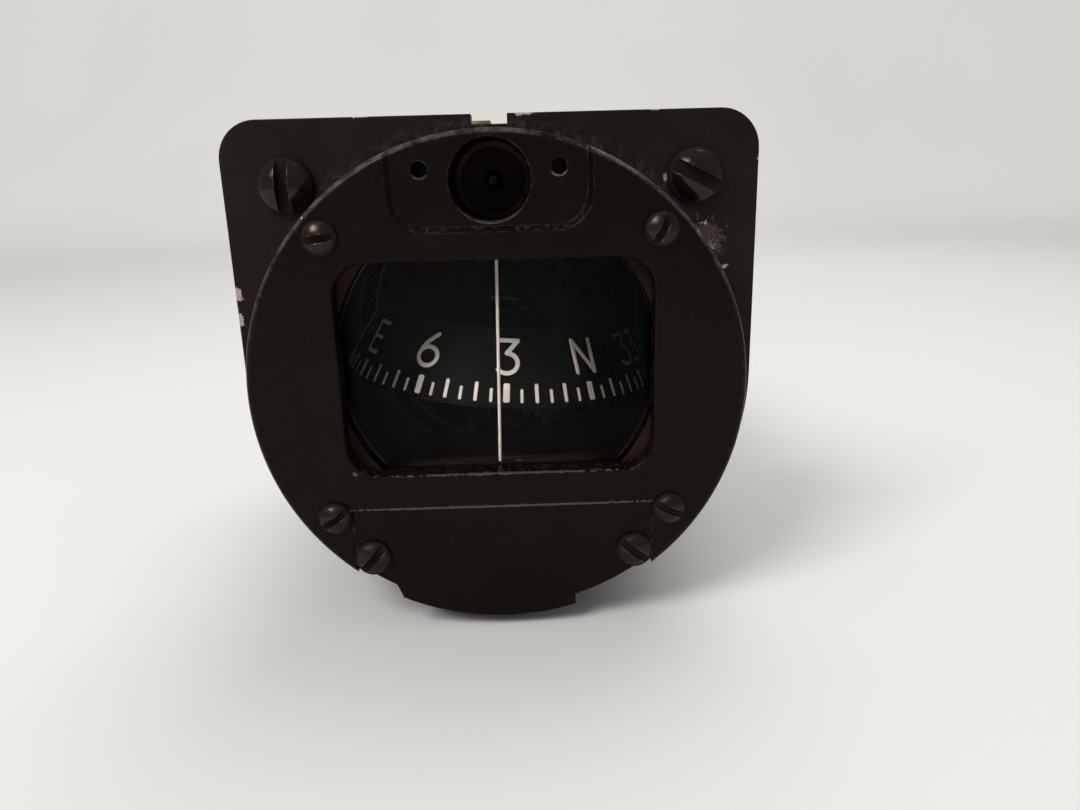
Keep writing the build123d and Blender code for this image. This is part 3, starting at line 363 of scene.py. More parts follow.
def dust_group():
    """Dust that lies on what faces up, thicker in patches."""
    tree, into, out = new_group(
        "Settled dust",
        SHADER_TREE,
        [("Vector", VECTOR, None), ("Amount", FLOAT, 0.3), ("Speck", FLOAT, 0.0007)],
        [("Mask", FLOAT)],
    )
    plain = tree.nodes.new("ShaderNodeNewGeometry")
    parts = add_node(tree, "ShaderNodeSeparateXYZ", {0: plain.outputs["Normal"]})
    facing_up = ramp(tree, parts.outputs["Z"], 0.05, 0.9, 0.06, 1.0)
    specks = add_node(tree, "ShaderNodeTexNoise", {"Vector": into.outputs["Vector"], "Detail": 6.0, "Roughness": 0.75})
    tree.links.new(sum_up(tree, "DIVIDE", 1.0, into.outputs["Speck"]), specks.inputs["Scale"])
    spread = ramp(tree, specks.outputs["Fac"], 0.48, 0.8)
    amount = sum_up(tree, "MULTIPLY", facing_up, into.outputs["Amount"])
    tree.links.new(sum_up(tree, "MULTIPLY", spread, amount), out.inputs["Mask"])
    return tree


def shared(name, maker):
    """The shared node group of that name, made the first time it is asked for."""
    return bpy.data.node_groups.get(name) or maker()


def use_group(tree, name, maker, inputs):
    """Place a shared group in a material and give it its values."""
    made = tree.nodes.new("ShaderNodeGroup")
    made.node_tree = shared(name, maker)
    for key, value in inputs.items():
        if isinstance(value, bpy.types.NodeSocket):
            tree.links.new(value, made.inputs[key])
        else:
            made.inputs[key].default_value = value
    return made


def film(tree, vector, **values):
    """The film group's node."""
    return use_group(tree, "Film unevenness", film_group, {"Vector": vector, **values})


def edges(tree, vector, **values):
    """The edge wear group's node."""
    return use_group(tree, "Edge wear", edge_group, {"Vector": vector, **values})


def dust(tree, vector, **values):
    """The dust group's mask."""
    return use_group(tree, "Settled dust", dust_group, {"Vector": vector, **values}).outputs["Mask"]


def band(tree, vector, inner, outer, fade, low, high, breakup, reach, centre=(0.0, 0.0, 0.0)):
    """The mask of a band round the bezel's axis or one beside it, its sizes in millimetres."""
    shift = {0: vector, 1: [c * MM for c in centre]}
    vector = add_node(tree, "ShaderNodeVectorMath", shift, operation="SUBTRACT").outputs[0]
    inputs = {"Vector": vector, "Reach": reach}
    sizes = {"Inner": inner, "Outer": outer, "Fade": fade, "Low": low, "High": high, "Breakup": breakup}
    inputs.update({key: value * MM for key, value in sizes.items()})
    return use_group(tree, "Band round the bezel", ring_group, inputs).outputs["Mask"]


def chips(tree, vector, places):
    """The masks of several chipped places, the strongest at each point."""
    mask = 0.0
    for centre, size, breakup, cover in places:
        inputs = {
            "Vector": vector,
            "Centre": [c * MM for c in centre],
            "Size": [s * MM for s in size],
            "Breakup": breakup * MM,
            "Cover": cover,
        }
        one = use_group(tree, "Chipped place", chip_group, inputs).outputs["Mask"]
        mask = one if mask == 0.0 else sum_up(tree, "MAXIMUM", mask, one)
    return mask


# Materials

def new_material(name):
    """An empty node material, its tree, its Principled shader and its Object coordinates."""
    material = bpy.data.materials.new(name)
    material.use_nodes = True
    tree = material.node_tree
    shader = tree.nodes["Principled BSDF"]
    vector = tree.nodes.new("ShaderNodeTexCoord").outputs["Object"]
    return material, tree, shader, vector


def bump(tree, height, depth, normal=None):
    """A bumped normal, where depth is the height of the bumps in metres."""
    inputs = {"Height": height, "Distance": depth, "Strength": 1.0}
    if normal is not None:
        inputs["Normal"] = normal
    return add_node(tree, "ShaderNodeBump", inputs).outputs["Normal"]


def finish_material(tree, shader, colour, roughness, metallic, normal):
    """Feed the Principled shader."""
    tree.links.new(colour, shader.inputs["Base Color"])
    tree.links.new(roughness, shader.inputs["Roughness"])
    if isinstance(metallic, bpy.types.NodeSocket):
        tree.links.new(metallic, shader.inputs["Metallic"])
    else:
        shader.inputs["Metallic"].default_value = metallic
    tree.links.new(normal, shader.inputs["Normal"])


def painted(name, colour, settings, roughness, grain, depth, wear, breakup, dust_amount, marks, shine):
    """Paint on cast aluminium, rubbed along its edges, chipped in places, lightened in the listed rubs and bands (worn
    paint and dust on the case, painted highlights on the bezel) and dusty on top.
    """
    material, tree, shader, vector = new_material(name)
    skin = film(tree, vector, Grain=grain * MM, Roughness=roughness, Spread=0.07)
    edge = edges(tree, vector, Radius=0.35 * MM, Breakup=breakup * MM, Reach=wear)
    faded = mix_colour(tree, skin.outputs["Tone"], four(colour), four([c * 1.5 for c in colour]))
    rubbed = mix_colour(tree, edge.outputs["Mask"], faded, four([0.4 * c for c in settings.bare_metal]))
    # the bands and rubs lighten the paint: wear and dust on the case, painted highlights on the bezel
    for share, tint, sizes in marks["bands_and_highlights"]:
        mask = sum_up(tree, "MULTIPLY", band(tree, vector, *sizes), share)
        rubbed = mix_colour(tree, mask, rubbed, four(tint))
    for share, tint, place in marks["rubs_and_highlights"]:
        mask = sum_up(tree, "MULTIPLY", chips(tree, vector, [place]), share)
        rubbed = mix_colour(tree, mask, rubbed, four(tint))
    bare = chips(tree, vector, marks["chips"])
    chipped = mix_colour(tree, bare, rubbed, four(settings.bare_metal))
    dusty = dust(tree, vector, Amount=dust_amount)
    topped = mix_colour(tree, dusty, chipped, four(settings.dust))
    metal = sum_up(tree, "MULTIPLY", bare, sum_up(tree, "SUBTRACT", 0.75, dusty))
    rough = mix_value(tree, bare, skin.outputs["Roughness"], 0.55)
    rough = mix_value(tree, dusty, rough, 0.9)
    sunk = sum_up(tree, "SUBTRACT", skin.outputs["Height"], sum_up(tree, "MULTIPLY", bare, 1.5))
    finish_material(tree, shader, topped, rough, metal, bump(tree, sunk, depth * MM, edge.outputs["Normal"]))
    shader.inputs["Specular IOR Level"].default_value = shine
    return material


def worn_steel(name, settings, dark, bright, roughness, wear, patch=0.3, slot_floor=None):
    """Blackened steel, bright where it was rubbed, with painted shade, darker and rougher, below the depth where the
    slot's floor lies.
    """
    material, tree, shader, vector = new_material(name)
    skin = film(tree, vector, Grain=0.25 * MM, Cloud=2.2 * MM, Roughness=roughness, Spread=0.1)
    edge = edges(tree, vector, Radius=0.22 * MM, Breakup=0.9 * MM, Reach=wear)
    patches = ramp(tree, noise(tree, vector, 0.9 * MM, 6.0, 0.7), 0.56, 0.72, 0.0, patch)
    rubbed = sum_up(tree, "MAXIMUM", edge.outputs["Mask"], patches)
    colour = mix_colour(tree, rubbed, four(dark), four(bright))
    colour = mix_colour(tree, dust(tree, vector, Amount=0.25), colour, four(settings.dust))
    rough = sum_up(tree, "SUBTRACT", skin.outputs["Roughness"], sum_up(tree, "MULTIPLY", rubbed, 0.06))
    metal = 0.9
    if slot_floor is not None:
        depth = add_node(tree, "ShaderNodeSeparateXYZ", {0: vector}).outputs["Y"]
        # painted shade: from the slot's floor back, the steel is darkened, roughened and made less metallic as if in
        # shadow
        slot_shade = ramp(tree, depth, (slot_floor - 0.45) * MM, (slot_floor - 0.05) * MM, 0.0, 0.92)
        colour = mix_colour(tree, slot_shade, colour, four((0.012, 0.009, 0.007)))
        rough = mix_value(tree, slot_shade, rough, 0.75)
        metal = sum_up(tree, "MULTIPLY", sum_up(tree, "SUBTRACT", 1.0, slot_shade), 0.9)
    normal = bump(tree, skin.outputs["Height"], 0.012 * MM, edge.outputs["Normal"])
    finish_material(tree, shader, colour, rough, metal, normal)
    shader.inputs["Specular IOR Level"].default_value = 0.06
    return material


def brass(name, clean, tarnish, roughness, age):
    """Turned or stamped brass, darkened in clouds and cleaner along its edges."""
    material, tree, shader, vector = new_material(name)
    skin = film(tree, vector, Grain=0.2 * MM, Cloud=5 * MM, Roughness=roughness, Spread=0.12)
    edge = edges(tree, vector, Radius=0.12 * MM, Breakup=0.8 * MM, Reach=0.4)
    stain = ramp(tree, noise(tree, vector, 3 * MM, 6.0, 0.65), 0.62 - age * 0.3, 0.8 - age * 0.2)
    stain = sum_up(tree, "MULTIPLY", stain, sum_up(tree, "SUBTRACT", 1.0, edge.outputs["Mask"]))
    colour = mix_colour(tree, stain, four(clean), four(tarnish))
    rough = sum_up(tree, "ADD", skin.outputs["Roughness"], sum_up(tree, "MULTIPLY", stain, 0.2))
    normal = bump(tree, skin.outputs["Height"], 0.006 * MM, edge.outputs["Normal"])
    finish_material(tree, shader, colour, rough, 1.0, normal)
    return material


def plain_stuff(name, colour, second, lump, grain, depth, roughness, spread=0.08, shine=0.2):
    """Paper, rubber, plastic or paint film without metal: two tones in clouds over a fine grain."""
    material, tree, shader, vector = new_material(name)
    skin = film(tree, vector, Grain=grain * MM, Cloud=lump * MM, Roughness=roughness, Spread=spread)
    tone = mix_colour(tree, skin.outputs["Tone"], four(colour), four(second))
    edge = edges(tree, vector, Radius=0.1 * MM, Breakup=1.0 * MM, Reach=0.3)
    normal = bump(tree, skin.outputs["Height"], depth * MM, edge.outputs["Normal"])
    finish_material(tree, shader, tone, skin.outputs["Roughness"], 0.0, normal)
    shader.inputs["Specular IOR Level"].default_value = shine
    return material


def window_glass(name):
    """Glass with liquid behind it: hardly any reflection, and darkened towards its ends as painted shade over the
    card's far sides. Lamps shine through.
    """
    material, tree, shader, vector = new_material(name)
    shader.inputs["Transmission Weight"].default_value = 1.0
    shader.inputs["IOR"].default_value = 1.12
    shader.inputs["Specular IOR Level"].default_value = 0.3
    across = add_node(tree, "ShaderNodeSeparateXYZ", {0: vector}).outputs["X"]
    away = sum_up(tree, "ABSOLUTE", sum_up(tree, "ADD", across, 2.5 * MM))
    # painted shade: the glass darkens the card seen through its ends
    painted_end_shade = ramp(tree, away, 11 * MM, 25 * MM, 0.0, 0.82)
    tint = mix_colour(tree, painted_end_shade, four((0.90, 0.92, 0.90)), four((0.10, 0.07, 0.05)))
    tree.links.new(tint, shader.inputs["Base Color"])
    smear = ramp(tree, noise(tree, vector, 7 * MM, 5.0, 0.6), 0.5, 0.75, 0.0, 0.008)
    tree.links.new(smear, shader.inputs["Roughness"])
    clear = add_node(tree, "ShaderNodeBsdfTransparent", {"Color": (0.93, 0.95, 0.93, 1.0)})
    tree.links.new(tint, clear.inputs["Color"])
    path = tree.nodes.new("ShaderNodeLightPath")
    inputs = {0: path.outputs["Is Shadow Ray"], 1: shader.outputs["BSDF"], 2: clear.outputs["BSDF"]}
    both = add_node(tree, "ShaderNodeMixShader", inputs)
    tree.links.new(both.outputs[0], tree.nodes["Material Output"].inputs["Surface"])
    return material


def dress(material, *nodes):
    """Give CAD nodes a material."""
    for name in nodes:
        mesh = frame["nodes"][name].data
        mesh.materials.clear()
        mesh.materials.append(material)


# Helpers for pieces

def keep_piece(name, mesh, body):
    """Make a finished piece of a mesh that lies in place, and let it ride on its body."""
    mesh.name = name
    obj = bpy.data.objects.new(name, mesh)
    bpy.context.scene.collection.objects.link(obj)
    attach(obj, body)
    return obj


def grow(tree, place, **values):
    """Run a shape tree on an empty mesh and return the result as a plain mesh in its place."""
    obj = bpy.data.objects.new("seed", bpy.data.meshes.new("seed"))
    bpy.context.scene.collection.objects.link(obj)
    modifier = obj.modifiers.new("Shape", "NODES")
    modifier.node_group = tree
    for item in tree.interface.items_tree:
        if item.item_type == "SOCKET" and item.in_out == "INPUT" and item.name in values:
            modifier[item.identifier] = values.pop(item.name)
    if values:
        raise RuntimeError(f"the tree {tree.name} has no inputs named {sorted(values)}")
    graph = bpy.context.evaluated_depsgraph_get()
    mesh = bpy.data.meshes.new_from_object(obj.evaluated_get(graph), depsgraph=graph)
    bpy.data.objects.remove(obj)
    if not mesh.polygons:
        raise RuntimeError(f"the tree {tree.name} made no faces")
    mesh.transform(place)
    return mesh


def card_place(settings):
    """The card's own frame: its axis up, and north towards the reader before it is turned."""
    lean = atan2(CARD_AXIS.x, CARD_AXIS.z)
    turn = Matrix.Rotation(lean, 4, "Y") @ Matrix.Rotation(settings.heading, 4, "Z")
    return Matrix.Translation(CARD_PIVOT) @ turn


# Card marks

def solid_of_outline(tree, outline, thickness):
    """A closed slab on a filled outline, in a shape tree."""
    flat = add_node(tree, "GeometryNodeFillCurve", {"Curve": outline}, mode="NGONS").outputs[0]
    raised = add_node(tree, "GeometryNodeExtrudeMesh", {"Mesh": flat, "Offset Scale": thickness, "Individual": False})
    under = add_node(tree, "GeometryNodeFlipFaces", {"Mesh": flat}).outputs[0]
    whole = tree.nodes.new("GeometryNodeJoinGeometry")
    tree.links.new(raised.outputs["Mesh"], whole.inputs[0])
    tree.links.new(under, whole.inputs[0])
    merged = add_node(tree, "GeometryNodeMergeByDistance", {"Geometry": whole.outputs[0], "Distance": 1e-7})
    return merged.outputs[0]


def tick_tree():
    """Ticks round a cone, every five, ten and thirty degrees, with rounded corners."""
    sizes = [f"{kind} {side}" for kind in ("Five", "Ten", "Thirty") for side in ("length", "width")]
    tree, into, out = new_group(
        "Card ticks",
        SHAPE_TREE,
        [(label, FLOAT, 0.001) for label in sizes]
        + [("Radius", FLOAT, 0.03), ("Drop", FLOAT, 0.006), ("Slope", FLOAT, 1.0), ("Film", FLOAT, 0.0001)]
        + [("Material", "NodeSocketMaterial", None)],
        [("Geometry", "NodeSocketGeometry")],
    )
    value = into.outputs
    rings = tree.nodes.new("GeometryNodeJoinGeometry")
    tilt = add_node(tree, "ShaderNodeCombineXYZ", {"X": value["Slope"]}).outputs[0]
    stand = add_node(
        tree,
        "ShaderNodeCombineXYZ",
        {"Y": sum_up(tree, "MULTIPLY", value["Radius"], -1.0), "Z": sum_up(tree, "MULTIPLY", value["Drop"], -1.0)},
    ).outputs[0]
    # how many ticks a kind has, and which of them give way to a larger kind
    for kind, count, every in (("Five", 72, 2), ("Ten", 36, 3), ("Thirty", 12, 0)):
        length, width = value[f"{kind} length"], value[f"{kind} width"]
        box = add_node(tree, "GeometryNodeCurvePrimitiveQuadrilateral", {"Width": width, "Height": length})
        corner = sum_up(tree, "MULTIPLY", width, 0.28)
        inputs = {"Curve": box.outputs[0], "Radius": corner, "Count": 3}
        rounded = add_node(tree, "GeometryNodeFilletCurve", inputs, mode="POLY").outputs[0]
        tick = solid_of_outline(tree, rounded, value["Film"])
        lift = add_node(tree, "ShaderNodeCombineXYZ", {"Y": sum_up(tree, "MULTIPLY", length, 0.5)}).outputs[0]
        raised = add_node(tree, "GeometryNodeTransform", {"Geometry": tick, "Translation": lift}).outputs[0]
        inputs = {"Geometry": raised, "Translation": stand, "Rotation": tilt}
        placed = add_node(tree, "GeometryNodeTransform", inputs).outputs[0]
        points = add_node(tree, "GeometryNodePoints", {"Count": count}).outputs[0]
        index = tree.nodes.new("GeometryNodeInputIndex").outputs[0]
        step = sum_up(tree, "MULTIPLY", index, radians(360 / count))
        turned = add_node(tree, "ShaderNodeCombineXYZ", {"Z": step}).outputs[0]
        inputs = {"Points": points, "Instance": placed, "Rotation": turned}
        if every:
            rest = sum_up(tree, "MODULO", index, float(every))
            inputs["Selection"] = sum_up(tree, "GREATER_THAN", rest, 0.5)
        ring = add_node(tree, "GeometryNodeInstanceOnPoints", inputs).outputs[0]
        tree.links.new(ring, rings.inputs[0])
    real = add_node(tree, "GeometryNodeRealizeInstances", {0: rings.outputs[0]}).outputs[0]
    inputs = {"Geometry": real, "Material": value["Material"]}
    tree.links.new(add_node(tree, "GeometryNodeSetMaterial", inputs).outputs[0], out.inputs[0])
    return tree


def arc(x, y, across, up, start, end, steps=14):
    """Points on an ellipse's arc, from one angle in degrees to another."""
    turns = [radians(start + (end - start) * i / steps) for i in range(steps + 1)]
    return [(x + across * cos(a), y + up * sin(a)) for a in turns]


def runs(*points):
    """Straight strokes from point to point, each one apart, so that the corners stay round."""
    return [[points[i], points[i + 1]] for i in range(len(points) - 1)]


def bow(start, middle, end, steps=10):
    """Points on a curve from start to end that leans towards middle."""
    found = []
    for i in range(steps + 1):
        t = i / steps
        weights = ((1 - t) ** 2, 2 * t * (1 - t), t * t)
        found.append(tuple(sum(w * p[k] for w, p in zip(weights, (start, middle, end))) for k in (0, 1)))
    return found


# Strokes of each figure in units of its height, and its width
FIGURES = {
    "0": ([arc(0.33, 0.5, 0.29, 0.46, 90, 450, 32)], 0.66),
    "1": (runs((0.06, 0.78), (0.26, 0.96), (0.26, 0.04)), 0.34),
    "2": ([arc(0.32, 0.68, 0.27, 0.28, 165, -38)] + runs((0.53, 0.51), (0.05, 0.04), (0.61, 0.04)), 0.66),
    "3": (runs((0.07, 0.96), (0.58, 0.96), (0.30, 0.60)) + [arc(0.30, 0.32, 0.30, 0.28, 90, -140)], 0.64),
    "4": (runs((0.48, 0.04), (0.48, 0.96), (0.05, 0.28), (0.64, 0.28)), 0.68),
    "5": (runs((0.57, 0.96), (0.14, 0.96), (0.10, 0.55)) + [arc(0.31, 0.34, 0.29, 0.30, 135, -140)], 0.64),
    "6": ([arc(0.34, 0.31, 0.29, 0.27, 0, 360, 28), bow((0.055, 0.36), (0.10, 0.66), (0.50, 0.96))], 0.68),
    "N": (runs((0.04, 0.04), (0.04, 0.96), (0.62, 0.04), (0.62, 0.96)), 0.66),
    "E": (runs((0.56, 0.96), (0.06, 0.96), (0.06, 0.04), (0.56, 0.04)) + runs((0.06, 0.5), (0.48, 0.5)), 0.62),
    "S": ([arc(0.32, 0.73, 0.25, 0.23, 25, 270), arc(0.32, 0.27, 0.27, 0.23, 90, -155)], 0.64),
    "W": (runs((0.04, 0.96), (0.22, 0.04), (0.42, 0.78), (0.62, 0.04), (0.80, 0.96)), 0.84),
}
HEADINGS = ("N", "3", "6", "E", "12", "15", "S", "21", "24", "W", "30", "33")
RING_SIDES = 8
CAP_RINGS = 3


def brush(bm, points, half_width, height, place):
    """One brush stroke: a low domed bead along flat points with round ends, carried to its place."""
    closed = (Vector(points[0]) - Vector(points[-1])).length < half_width * 0.1
    line = [Vector(p) for p in (points[:-1] if closed else points)]
    stations = []
    for i, point in enumerate(line):
        before = line[i - 1] if closed or i else point
        after = line[(i + 1) % len(line)] if closed or i + 1 < len(line) else point
        stations.append((point, (after - before).normalized(), 1.0))
    if not closed:
        first, last = stations[0], stations[-1]
        turns = [radians(90 * k / (CAP_RINGS + 1)) for k in range(1, CAP_RINGS + 1)]
        head = [(first[0] - first[1] * half_width * cos(a), first[1], sin(a)) for a in turns]
        tail = [(last[0] + last[1] * half_width * cos(a), last[1], sin(a)) for a in reversed(turns)]
        stations = head + stations + tail
    rings = []
    for point, way, size in stations:
        side = Vector((way.y, -way.x))
        ring = []
        for k in range(RING_SIDES):
            a = radians(360 * k / RING_SIDES)
            flat = point + side * (half_width * size * cos(a))
            ring.append(bm.verts.new(place(flat.x, flat.y, height * (0.5 + size * sin(a)))))
        rings.append(ring)
    pairs = list(zip(rings, rings[1:])) + ([(rings[-1], rings[0])] if closed else [])
    for one, two in pairs:
        for k in range(RING_SIDES):
            n = (k + 1) % RING_SIDES
            bm.faces.new((one[k], one[n], two[n], two[k]))
    if not closed:
        start, way, _ = stations[CAP_RINGS]
        end, out, _ = stations[-CAP_RINGS - 1]
        for ring, tip, flip in ((rings[0], start - way * half_width, True), (rings[-1], end + out * half_width, False)):
            pole = bm.verts.new(place(tip.x, tip.y, height * 0.5))
            for k in range(RING_SIDES):
                n = (k + 1) % RING_SIDES
                bm.faces.new((ring[n], ring[k], pole) if flip else (ring[k], ring[n], pole))


def numeral_mesh(settings):
    """The numerals every thirty degrees, brushed on the skirt above the ticks."""
    bm = bmesh.new()
    slope = settings.half_angle
    edge_r = settings.edge_radius - (settings.edge_drop - settings.ticks_drop) * tan(slope)
    low = settings.ten_length + settings.numeral_gap
    height = settings.numeral_height
    for number, text in enumerate(HEADINGS):
        widths = [FIGURES[figure][1] * height for figure in text]
        total = sum(widths) + settings.letter_space * (len(text) - 1)
        left = -total / 2
        mark = radians(30 * number)
        for figure, width in zip(text, widths):
            for stroke in FIGURES[figure][0]:
                flat = [(left + x * height, low + y * height) for x, y in stroke]

                def on_skirt(x, y, lift, mark=mark):
                    radius = edge_r - y * sin(slope)
                    around = radians(-90) - mark + x / radius
                    out = radius + lift * cos(slope)
                    up = y * cos(slope) + lift * sin(slope) - settings.ticks_drop
                    return Vector((out * cos(around), out * sin(around), up))

                brush(bm, flat, settings.stroke / 2, settings.film, on_skirt)
            left += width + settings.letter_space
    bmesh.ops.recalc_face_normals(bm, faces=bm.faces)
    mesh = bpy.data.meshes.new("card_numerals")
    bm.to_mesh(mesh)
    bm.free()
    mesh.transform(card_place(settings))
    return mesh


class COMPASS_OT_card_marks(bpy.types.Operator):
    """Ticks and numerals on the card's skirt"""

    bl_idname = "compass.card_marks"
    bl_label = "Card marks"

    def execute(self, context):
        card = context.scene.compass_card
        colours = context.scene.compass_paint
        white = plain_stuff("mark_paint", colours.marks, [c * 0.86 for c in colours.marks], 2.5, 0.12, 0.01, 0.6)
        slope = card.half_angle
        mesh = grow(
            tick_tree(),
            card_place(card),
            **{
                "Five length": card.five_length,
                "Five width": card.five_width,
                "Ten length": card.ten_length,
                "Ten width": card.ten_width,
                "Thirty length": card.thirty_length,
                "Thirty width": card.thirty_width,
                "Radius": card.edge_radius - (card.edge_drop - card.ticks_drop) * tan(slope),
                "Drop": card.ticks_drop,
                "Slope": radians(90) - slope,
                "Film": card.film,
                "Material": white,
            },
        )
        keep_piece("card_ticks", mesh, "card")
        mesh = numeral_mesh(card)
        mesh.materials.append(white)
        keep_piece("card_numerals", mesh, "card")
        return {"FINISHED"}


# Threads of the mounting screws

def thread_tree():
    """Screw threads: ridges that wind along rods that stand side by side."""
    tree, into, out = new_group(
        "Stud threads",
        SHAPE_TREE,
        [
            ("Radius", FLOAT, 0.0017),
            ("Ridge", FLOAT, 0.0002),
            ("Pitch", FLOAT, 0.0008),
            ("Length", FLOAT, 0.005),
            ("Start", FLOAT, 0.006),
            ("Spacing", FLOAT, 0.06),
            ("Material", "NodeSocketMaterial", None),
        ],
        [("Geometry", "NodeSocketGeometry")],
    )
    value = into.outputs
    turns = sum_up(tree, "DIVIDE", value["Length"], value["Pitch"])
    inputs = {
        "Resolution": 24,
        "Rotations": turns,
        "Start Radius": value["Radius"],
        "End Radius": value["Radius"],
        "Height": value["Length"],
    }
    helix = add_node(tree, "GeometryNodeCurveSpiral", inputs).outputs[0]
    ridge = add_node(tree, "GeometryNodeCurvePrimitiveCircle", {"Resolution": 4, "Radius": value["Ridge"]}).outputs[0]
    inputs = {"Curve": helix, "Profile Curve": ridge, "Fill Caps": True}
    wound = add_node(tree, "GeometryNodeCurveToMesh", inputs).outputs[0]
    place = add_node(tree, "ShaderNodeCombineXYZ", {"Y": value["Start"]}).outputs[0]
    inputs = {"Geometry": wound, "Rotation": (radians(-90), 0, 0), "Translation": place}
    laid = add_node(tree, "GeometryNodeTransform", inputs).outputs[0]
    inputs = {
        "Count": 2,
        "Start Location": add_node(
            tree, "ShaderNodeCombineXYZ", {"X": sum_up(tree, "MULTIPLY", value["Spacing"], -0.5)}
        ).outputs[0],
        "Offset": add_node(tree, "ShaderNodeCombineXYZ", {"X": value["Spacing"]}).outputs[0],
    }
    points = add_node(tree, "GeometryNodeMeshLine", inputs, mode="OFFSET").outputs[0]
    both = add_node(tree, "GeometryNodeInstanceOnPoints", {"Points": points, "Instance": laid}).outputs[0]
    real = add_node(tree, "GeometryNodeRealizeInstances", {0: both}).outputs[0]
    inputs = {"Geometry": real, "Material": value["Material"]}
    tree.links.new(add_node(tree, "GeometryNodeSetMaterial", inputs).outputs[0], out.inputs[0])
    return tree


class COMPASS_OT_fasteners(bpy.types.Operator):
    """Worn blackened steel for the screws, and threads on the mounting screws' free ends"""

    bl_idname = "compass.fasteners"
    bl_label = "Fasteners"

    free_length: length_property("Free length", "Length of the screws' free ends behind the inserts", 6.5)
    pitch: length_property("Thread pitch", "Distance between the threads", 0.8)
    ridge: length_property("Thread ridge", "How thick the threads' ridges are", 0.22)

    def execute(self, context):
        colours = context.scene.compass_paint
        dark, bright = colours.dark_steel, colours.bright_steel
        steel = worn_steel("screw_steel", colours, [c * 0.6 for c in dark], bright, 0.28, 0.5, 0.12, -8.68)
        heads = worn_steel("panel_screw_steel", colours, [c * 0.62 for c in dark], bright, 0.17, 0.5, 0.08, -1.5)
        small = worn_steel("fine_steel", colours, [c * 2.2 for c in dark], bright, 0.3, 0.5)
        dress(steel, "bezel_screws", "cover_screws")
        dress(heads, "mounting_screws")
        dress(small, "rear_screws", "earth_screw", "post_screws", "block_screws", "wheel_arbors", "pivot_pin")
        # the coil between the post and the jewel's holder, as a loose copy in place of the frame's spring
        coil = bpy.data.objects.new("jewel_coil", frame["nodes"]["jewel_spring"].data.copy())
        coil.data.materials.clear()
        coil.data.materials.append(small)
        context.scene.collection.objects.link(coil)
        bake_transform(coil)
        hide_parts("jewel_spring")
        low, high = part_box("mounting_screws")
        screws = frame["nodes"]["mounting_screws"].data.vertices
        free_start = high.y - self.free_length
        ends = [v.co for v in screws if v.co.y > high.y - self.pitch]
        right = [c.x for c in ends if c.x > 0]
        radius = (max(right) - min(right)) / 2
        heights = [c.z for c in ends]
        mesh = grow(
            thread_tree(),
            Matrix.Translation((0, 0, (max(heights) + min(heights)) / 2)),
            **{
                "Radius": radius - self.ridge * 0.35,
                "Ridge": self.ridge,
                "Pitch": self.pitch,
                "Length": self.free_length - 1.2 * self.pitch,
                "Start": free_start + 0.5 * self.pitch,
                "Spacing": max(right) + min(right),
                "Material": small,
            },
        )
        keep_piece("mounting_threads", mesh, "body")
        return {"FINISHED"}


# Case, bezel and window

# The lamp hole's axis and rim, and the two small holes beside it, in millimetres.
LAMP_AXIS = (0.0, 0.0, 31.6)
LAMP_RIM = 5.9
RIGHT_HOLE = (10.2, 0.0, 33.3)
LEFT_HOLE = (-10.2, 0.0, 33.3)
# Worn places and painted highlights in millimetres. A chip is its centre, reach, size of the breaks and how much is
# gone.
# A rub is its strength and tint, then a place like a chip's. A band is its strength and tint, then its inner
# and outer radius, fade, low and high end, breaks and reach, and the axis where it isn't the bezel's.
# On the bezel the rubs and all bands but the lower rim's are painted highlights; on the case they are wear and dust.
CASE_MARKS = {
    "chips": [
        ((-40.9, 0.2, 15.0), (0.9, 3.0, 1.9), 0.9, 0.62),
        ((-41.1, 0.2, 11.2), (0.8, 3.0, 2.0), 0.9, 0.62),
        ((5.4, 0.2, 41.3), (3.2, 3.0, 0.9), 1.0, 0.53),
        ((36.6, 0.0, 17.5), (1.8, 1.0, 1.0), 0.5, 0.47),
        ((34.2, 0.0, 20.4), (3.6, 1.0, 4.4), 0.3, 0.36),
        ((33.2, 0.0, 24.2), (1.6, 1.0, 1.0), 0.4, 0.42),
        ((26.9, 0.0, 31.4), (0.6, 1.0, 1.2), 0.5, 0.54),
        ((30.6, 0.0, 28.8), (1.8, 1.0, 1.4), 0.3, 0.38),
        ((-19.5, 0.0, 41.3), (2.4, 2.0, 0.4), 0.7, 0.5),
        ((25.2, 0.0, 41.3), (2.8, 2.0, 0.4), 0.7, 0.52),
        ((-29.6, 0.0, 22.2), (0.5, 1.0, 0.5), 0.4, 0.46),
        ((-30.4, 0.0, 21.2), (0.4, 1.0, 0.5), 0.4, 0.46),
        ((41.2, 1.0, 33.0), (0.5, 3.0, 6.0), 0.8, 0.42),
    ],
    "rubs_and_highlights": [(0.45, (0.10, 0.075, 0.07), ((33.5, 0.0, 21.5), (5.5, 1.5, 6.5), 1.2, 0.52))],
    "bands_and_highlights": [
        (0.6, (0.075, 0.068, 0.074), (38.6, 39.2, 3.2, 16, 32, 1.4, 0.42)),
        (0.5, (0.20, 0.17, 0.17), (38.8, 39.4, 4.5, 14, 24, 0.35, 0.18)),
    ],
}
